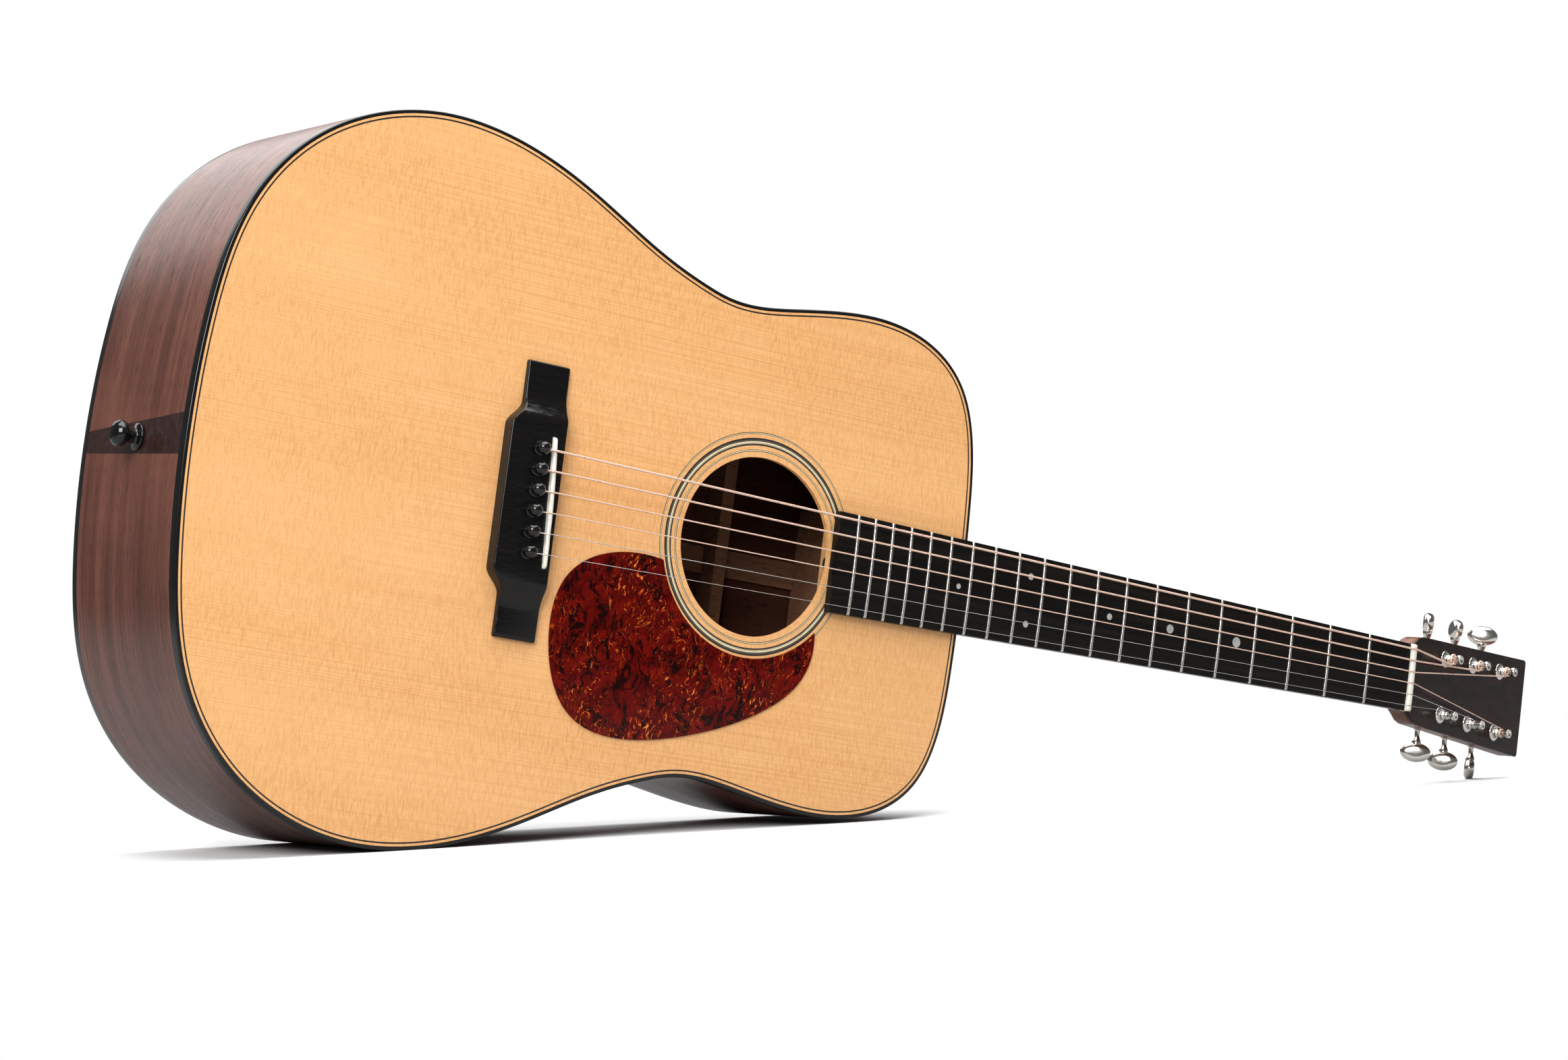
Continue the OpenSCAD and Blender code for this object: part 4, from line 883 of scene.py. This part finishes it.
for n in range(6):
    i, side, r = POST_OF[n], side_of(n), STRING_R[n]
    place = HEAD @ Matrix.Translation((POST_U[i], side * POST_Y[i], 0))
    profile = rounded([(0.01, GEAR_W + 1.5), (3.9, GEAR_W + 1.5), (3.9, -15.25),
                       (2.98, -15.25), (2.98, 3.0), (2.3, 4.0), (2.3, 8.8), (2.98, 9.5), (2.98, 12.0),
                       (1.7, 12.0), (0.01, 11.6)], 0.4)
    across = place @ Matrix.Translation((0, 0, 8.2)) @ Matrix.Rotation(math.pi / 2, 4, "Y")
    post = cut(mesh_of(*lathe(profile, place, 40)), lathe([(0.8, -6), (0.8, 6)], across, 20))
    step = 2 * math.pi / GEAR_TEETH
    teeth = []
    for k in range(GEAR_TEETH):
        for rr, da in ((5.9, -0.25), (6.7, -0.17), (7.0, -0.09), (7.0, 0.09), (6.7, 0.17), (5.9, 0.25)):
            a = (k + 0.5 + da) * step
            teeth.append((rr * math.cos(a), rr * math.sin(a)))
    wheel = [[tuple(place @ Vector((x * q, y * q, z))) for x, y in teeth]
             for z, q in ((GEAR_W - 1.5, 0.96), (GEAR_W - 1.2, 1), (GEAR_W + 1.2, 1), (GEAR_W + 1.5, 0.96))]
    screw = lathe(rounded([(0.01, -1.4), (3.1, -1.4), (3.0, -2.1), (2.3, -2.8), (0.01, -2.9)], 0.3),
                  place @ Matrix.Translation((0, 0, GEAR_W)), 32)
    finish_piece(f"post_{n + 1}", post, NICKEL, body=f"tuner_post_{n + 1}",
                 node=f"tuner_post_{n + 1}", slot="tuner_nickel", smooth=45)
    make(f"gear_{n + 1}", [loft(wheel), screw], NICKEL, body=f"tuner_post_{n + 1}",
         slot="tuner_nickel", smooth=30)
    top = 6.2 + r
    turns = WRAPS[n]
    start = math.atan2(-side, -0.5)
    coil = []
    for k in range(turns * 24 + 1):
        a = k / 24
        around = start + side * 2 * math.pi * a
        coil.append(place @ Vector(((2.3 + r) * math.cos(around), (2.3 + r) * math.sin(around),
                                    top - 2 * r * min(a, turns - 1) * 1.02)))
    tail = [place @ Vector(p) for p in ((-5.5, 0.3, 8.0), (-3.2, 0, 8.2), (3.2, 0, 8.2), (4.6, 0.2, 8.1))]
    make(f"winding_{n + 1}", [tube(coil, r * 0.97, 10), tube(tail, min(r, 0.6), 10)], string_material(n),
         body=f"tuner_post_{n + 1}", slot="plain_steel" if n < 2 else "bronze_wound")

    # Worm, stem and oval button
    axle = (HEAD @ Matrix.Translation((POST_U[i] + GEAR_OFF, side * POST_Y[i], GEAR_W))
            @ Matrix.Rotation(-side * math.pi / 2, 4, "X"))
    stem = lathe(rounded([(0.01, -8.2), (1.5, -8.2), (1.8, -7.8), (1.8, 8.1), (2.6, 8.2),
                          (2.6, 9.6), (1.7, 9.9), (1.6, 13.5), (2.1, 15.0), (2.9, 17.0),
                          (3.1, 19.2), (0.01, 19.3)], 0.35), axle, 36)
    pitch = 2 * math.pi * GEAR_PITCH_R / GEAR_TEETH
    worm = []
    for k in range(61):
        z = -4.5 + 9 * k / 60
        ring = []
        for j in range(28):
            a = 2 * math.pi * j / 28
            d = 180 - abs(math.degrees((a + 2 * math.pi * z / pitch) % (2 * math.pi)) - 180)
            q = 2.0 + 1.05 * max(0, min(1, (80 - d) / 46))
            ring.append(tuple(axle @ Vector((q * math.cos(a), q * math.sin(a), z))))
        worm.append(ring)
    button = []
    turn = axle @ Matrix.Translation((0, 0, KNOB_Y)) @ Matrix.Rotation(math.radians(KNOB_TURN[n]), 4, "Z")
    for t in np.linspace(-1, 1, 19):
        a = t * math.pi / 2
        h = 3.5 * math.sin(a)
        q = max(0.02, math.cos(a)) ** 0.42
        dish = 1 - 0.04 * (1 - abs(t))
        button.append([tuple(turn @ Vector((q * 10 * math.cos(b), h * dish, q * 6.5 * math.sin(b))))
                       for b in (2 * math.pi * k / 48 for k in range(48))])
    make(f"knob_{n + 1}", [stem, loft(worm), loft(button)], NICKEL, body=f"tuner_knob_{n + 1}",
         node=f"tuner_knob_{n + 1}", slot="tuner_nickel", smooth=50)

# ---------------------------------------------------------------- stage, light, camera
FLOOR_SIZE, FLOOR_SHIFT = 30, 4
FADE_CENTRE, FADE_START, FADE_END = (0, -3.6, 0), 0.7, 1.3
BACKDROP, AMBIENT = 1.05, 0.13
WHITE = (1, 1, 1, 1)
PAPER = (0.9, 0.9, 0.9)
PAPER_BOUNCE = (0.34, 0.34, 0.34)


def mix_shaders(tree, factor, first, second, output):
    mixer = tree.nodes.new("ShaderNodeMixShader")
    for source, socket in zip((factor, first, second), mixer.inputs):
        tree.links.new(source, socket)
    tree.links.new(mixer.outputs[0], tree.nodes[output].inputs["Surface"])


def to_the_eye(tree):
    return tree.nodes.new("ShaderNodeLightPath").outputs["Is Camera Ray"]


# Paper floor that fades to white away from the guitar and throws little light back at it
bpy.ops.mesh.primitive_grid_add(x_subdivisions=8, y_subdivisions=8, size=FLOOR_SIZE,
                                location=(0, FLOOR_SHIFT, 0))
floor = bpy.context.object
floor.name = "floor"
floor_mat = material(FLOOR_NAME, PAPER, 0.8)
tree = floor_mat.node_tree
soft = noise(floor_mat, coords(floor_mat), 3.0, 3)
paper = blend(floor_mat, span(floor_mat, soft, 0.3, 0.7), PAPER, (0.92, 0.92, 0.92))
eye = to_the_eye(tree)
link(floor_mat, blend(floor_mat, eye, PAPER_BOUNCE, paper), "Base Color")
distance = node(floor_mat, "VectorMath", {"operation": "DISTANCE"},
                i0=coords(floor_mat), i1=FADE_CENTRE).node.outputs["Value"]
glow = tree.nodes.new("ShaderNodeEmission")
glow.inputs[0].default_value = WHITE
fade = times(floor_mat, eye, span(floor_mat, distance, FADE_START, FADE_END))
mix_shaders(tree, fade, tree.nodes["Principled BSDF"].outputs[0], glow.outputs[0], "Material Output")
floor.data.materials.append(floor_mat)
floor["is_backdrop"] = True

# White backdrop to the eye, dimmer as a light, so that dark lacquer keeps its depth
world = bpy.data.worlds.new("world")
bpy.context.scene.world = world
world.use_nodes = True
sky = world.node_tree
dim, bright = sky.nodes["Background"], sky.nodes.new("ShaderNodeBackground")
for shade, strength in ((dim, AMBIENT), (bright, BACKDROP)):
    shade.inputs[0].default_value, shade.inputs[1].default_value = WHITE, strength
mix_shaders(sky, to_the_eye(sky), dim.outputs[0], bright.outputs[0], "World Output")


def area(name, at, aim, size, power):
    lamp = bpy.data.lights.new(name, "AREA")
    lamp.shape, lamp.size, lamp.size_y, lamp.energy = "RECTANGLE", size[0], size[1], power
    obj = bpy.data.objects.new(name, lamp)
    bpy.context.scene.collection.objects.link(obj)
    obj.location = at
    obj.rotation_euler = (Vector(aim) - Vector(at)).to_track_quat("-Z", "Y").to_euler()


area("overhead", (0.1, -0.2, 2.4), (0, 0, 0), (3.0, 2.4), 120)
area("front_left", (-2.6, -2.2, 1.9), (-0.1, 0, 0.2), (1.8, 1.8), 126)
area("back_high", (0.4, 3.2, 2.7), (-0.3, 0, 0.2), (4.4, 2.6), 62)

SENSOR, LENS, NEAREST, FARTHEST = 36.0, 88.25, 0.05, 60
EYE, AIM = Vector((-1.37583, -1.84126, 0.12994)), Vector((-0.12154, -0.05395, 0.16831))
ROLL = math.radians(-1.1685)

cam = bpy.data.cameras.new("camera")
cam_obj = bpy.data.objects.new("camera", cam)
bpy.context.scene.collection.objects.link(cam_obj)
bpy.context.scene.camera = cam_obj
cam.sensor_width, cam.lens, cam.clip_start, cam.clip_end = SENSOR, LENS, NEAREST, FARTHEST
cam_obj.location = EYE
turned = (AIM - EYE).to_track_quat("-Z", "Y").to_matrix().to_4x4() @ Matrix.Rotation(ROLL, 4, "Z")
cam_obj.rotation_euler = turned.to_euler()
bpy.context.scene.view_settings.view_transform = "Standard"

low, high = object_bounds()
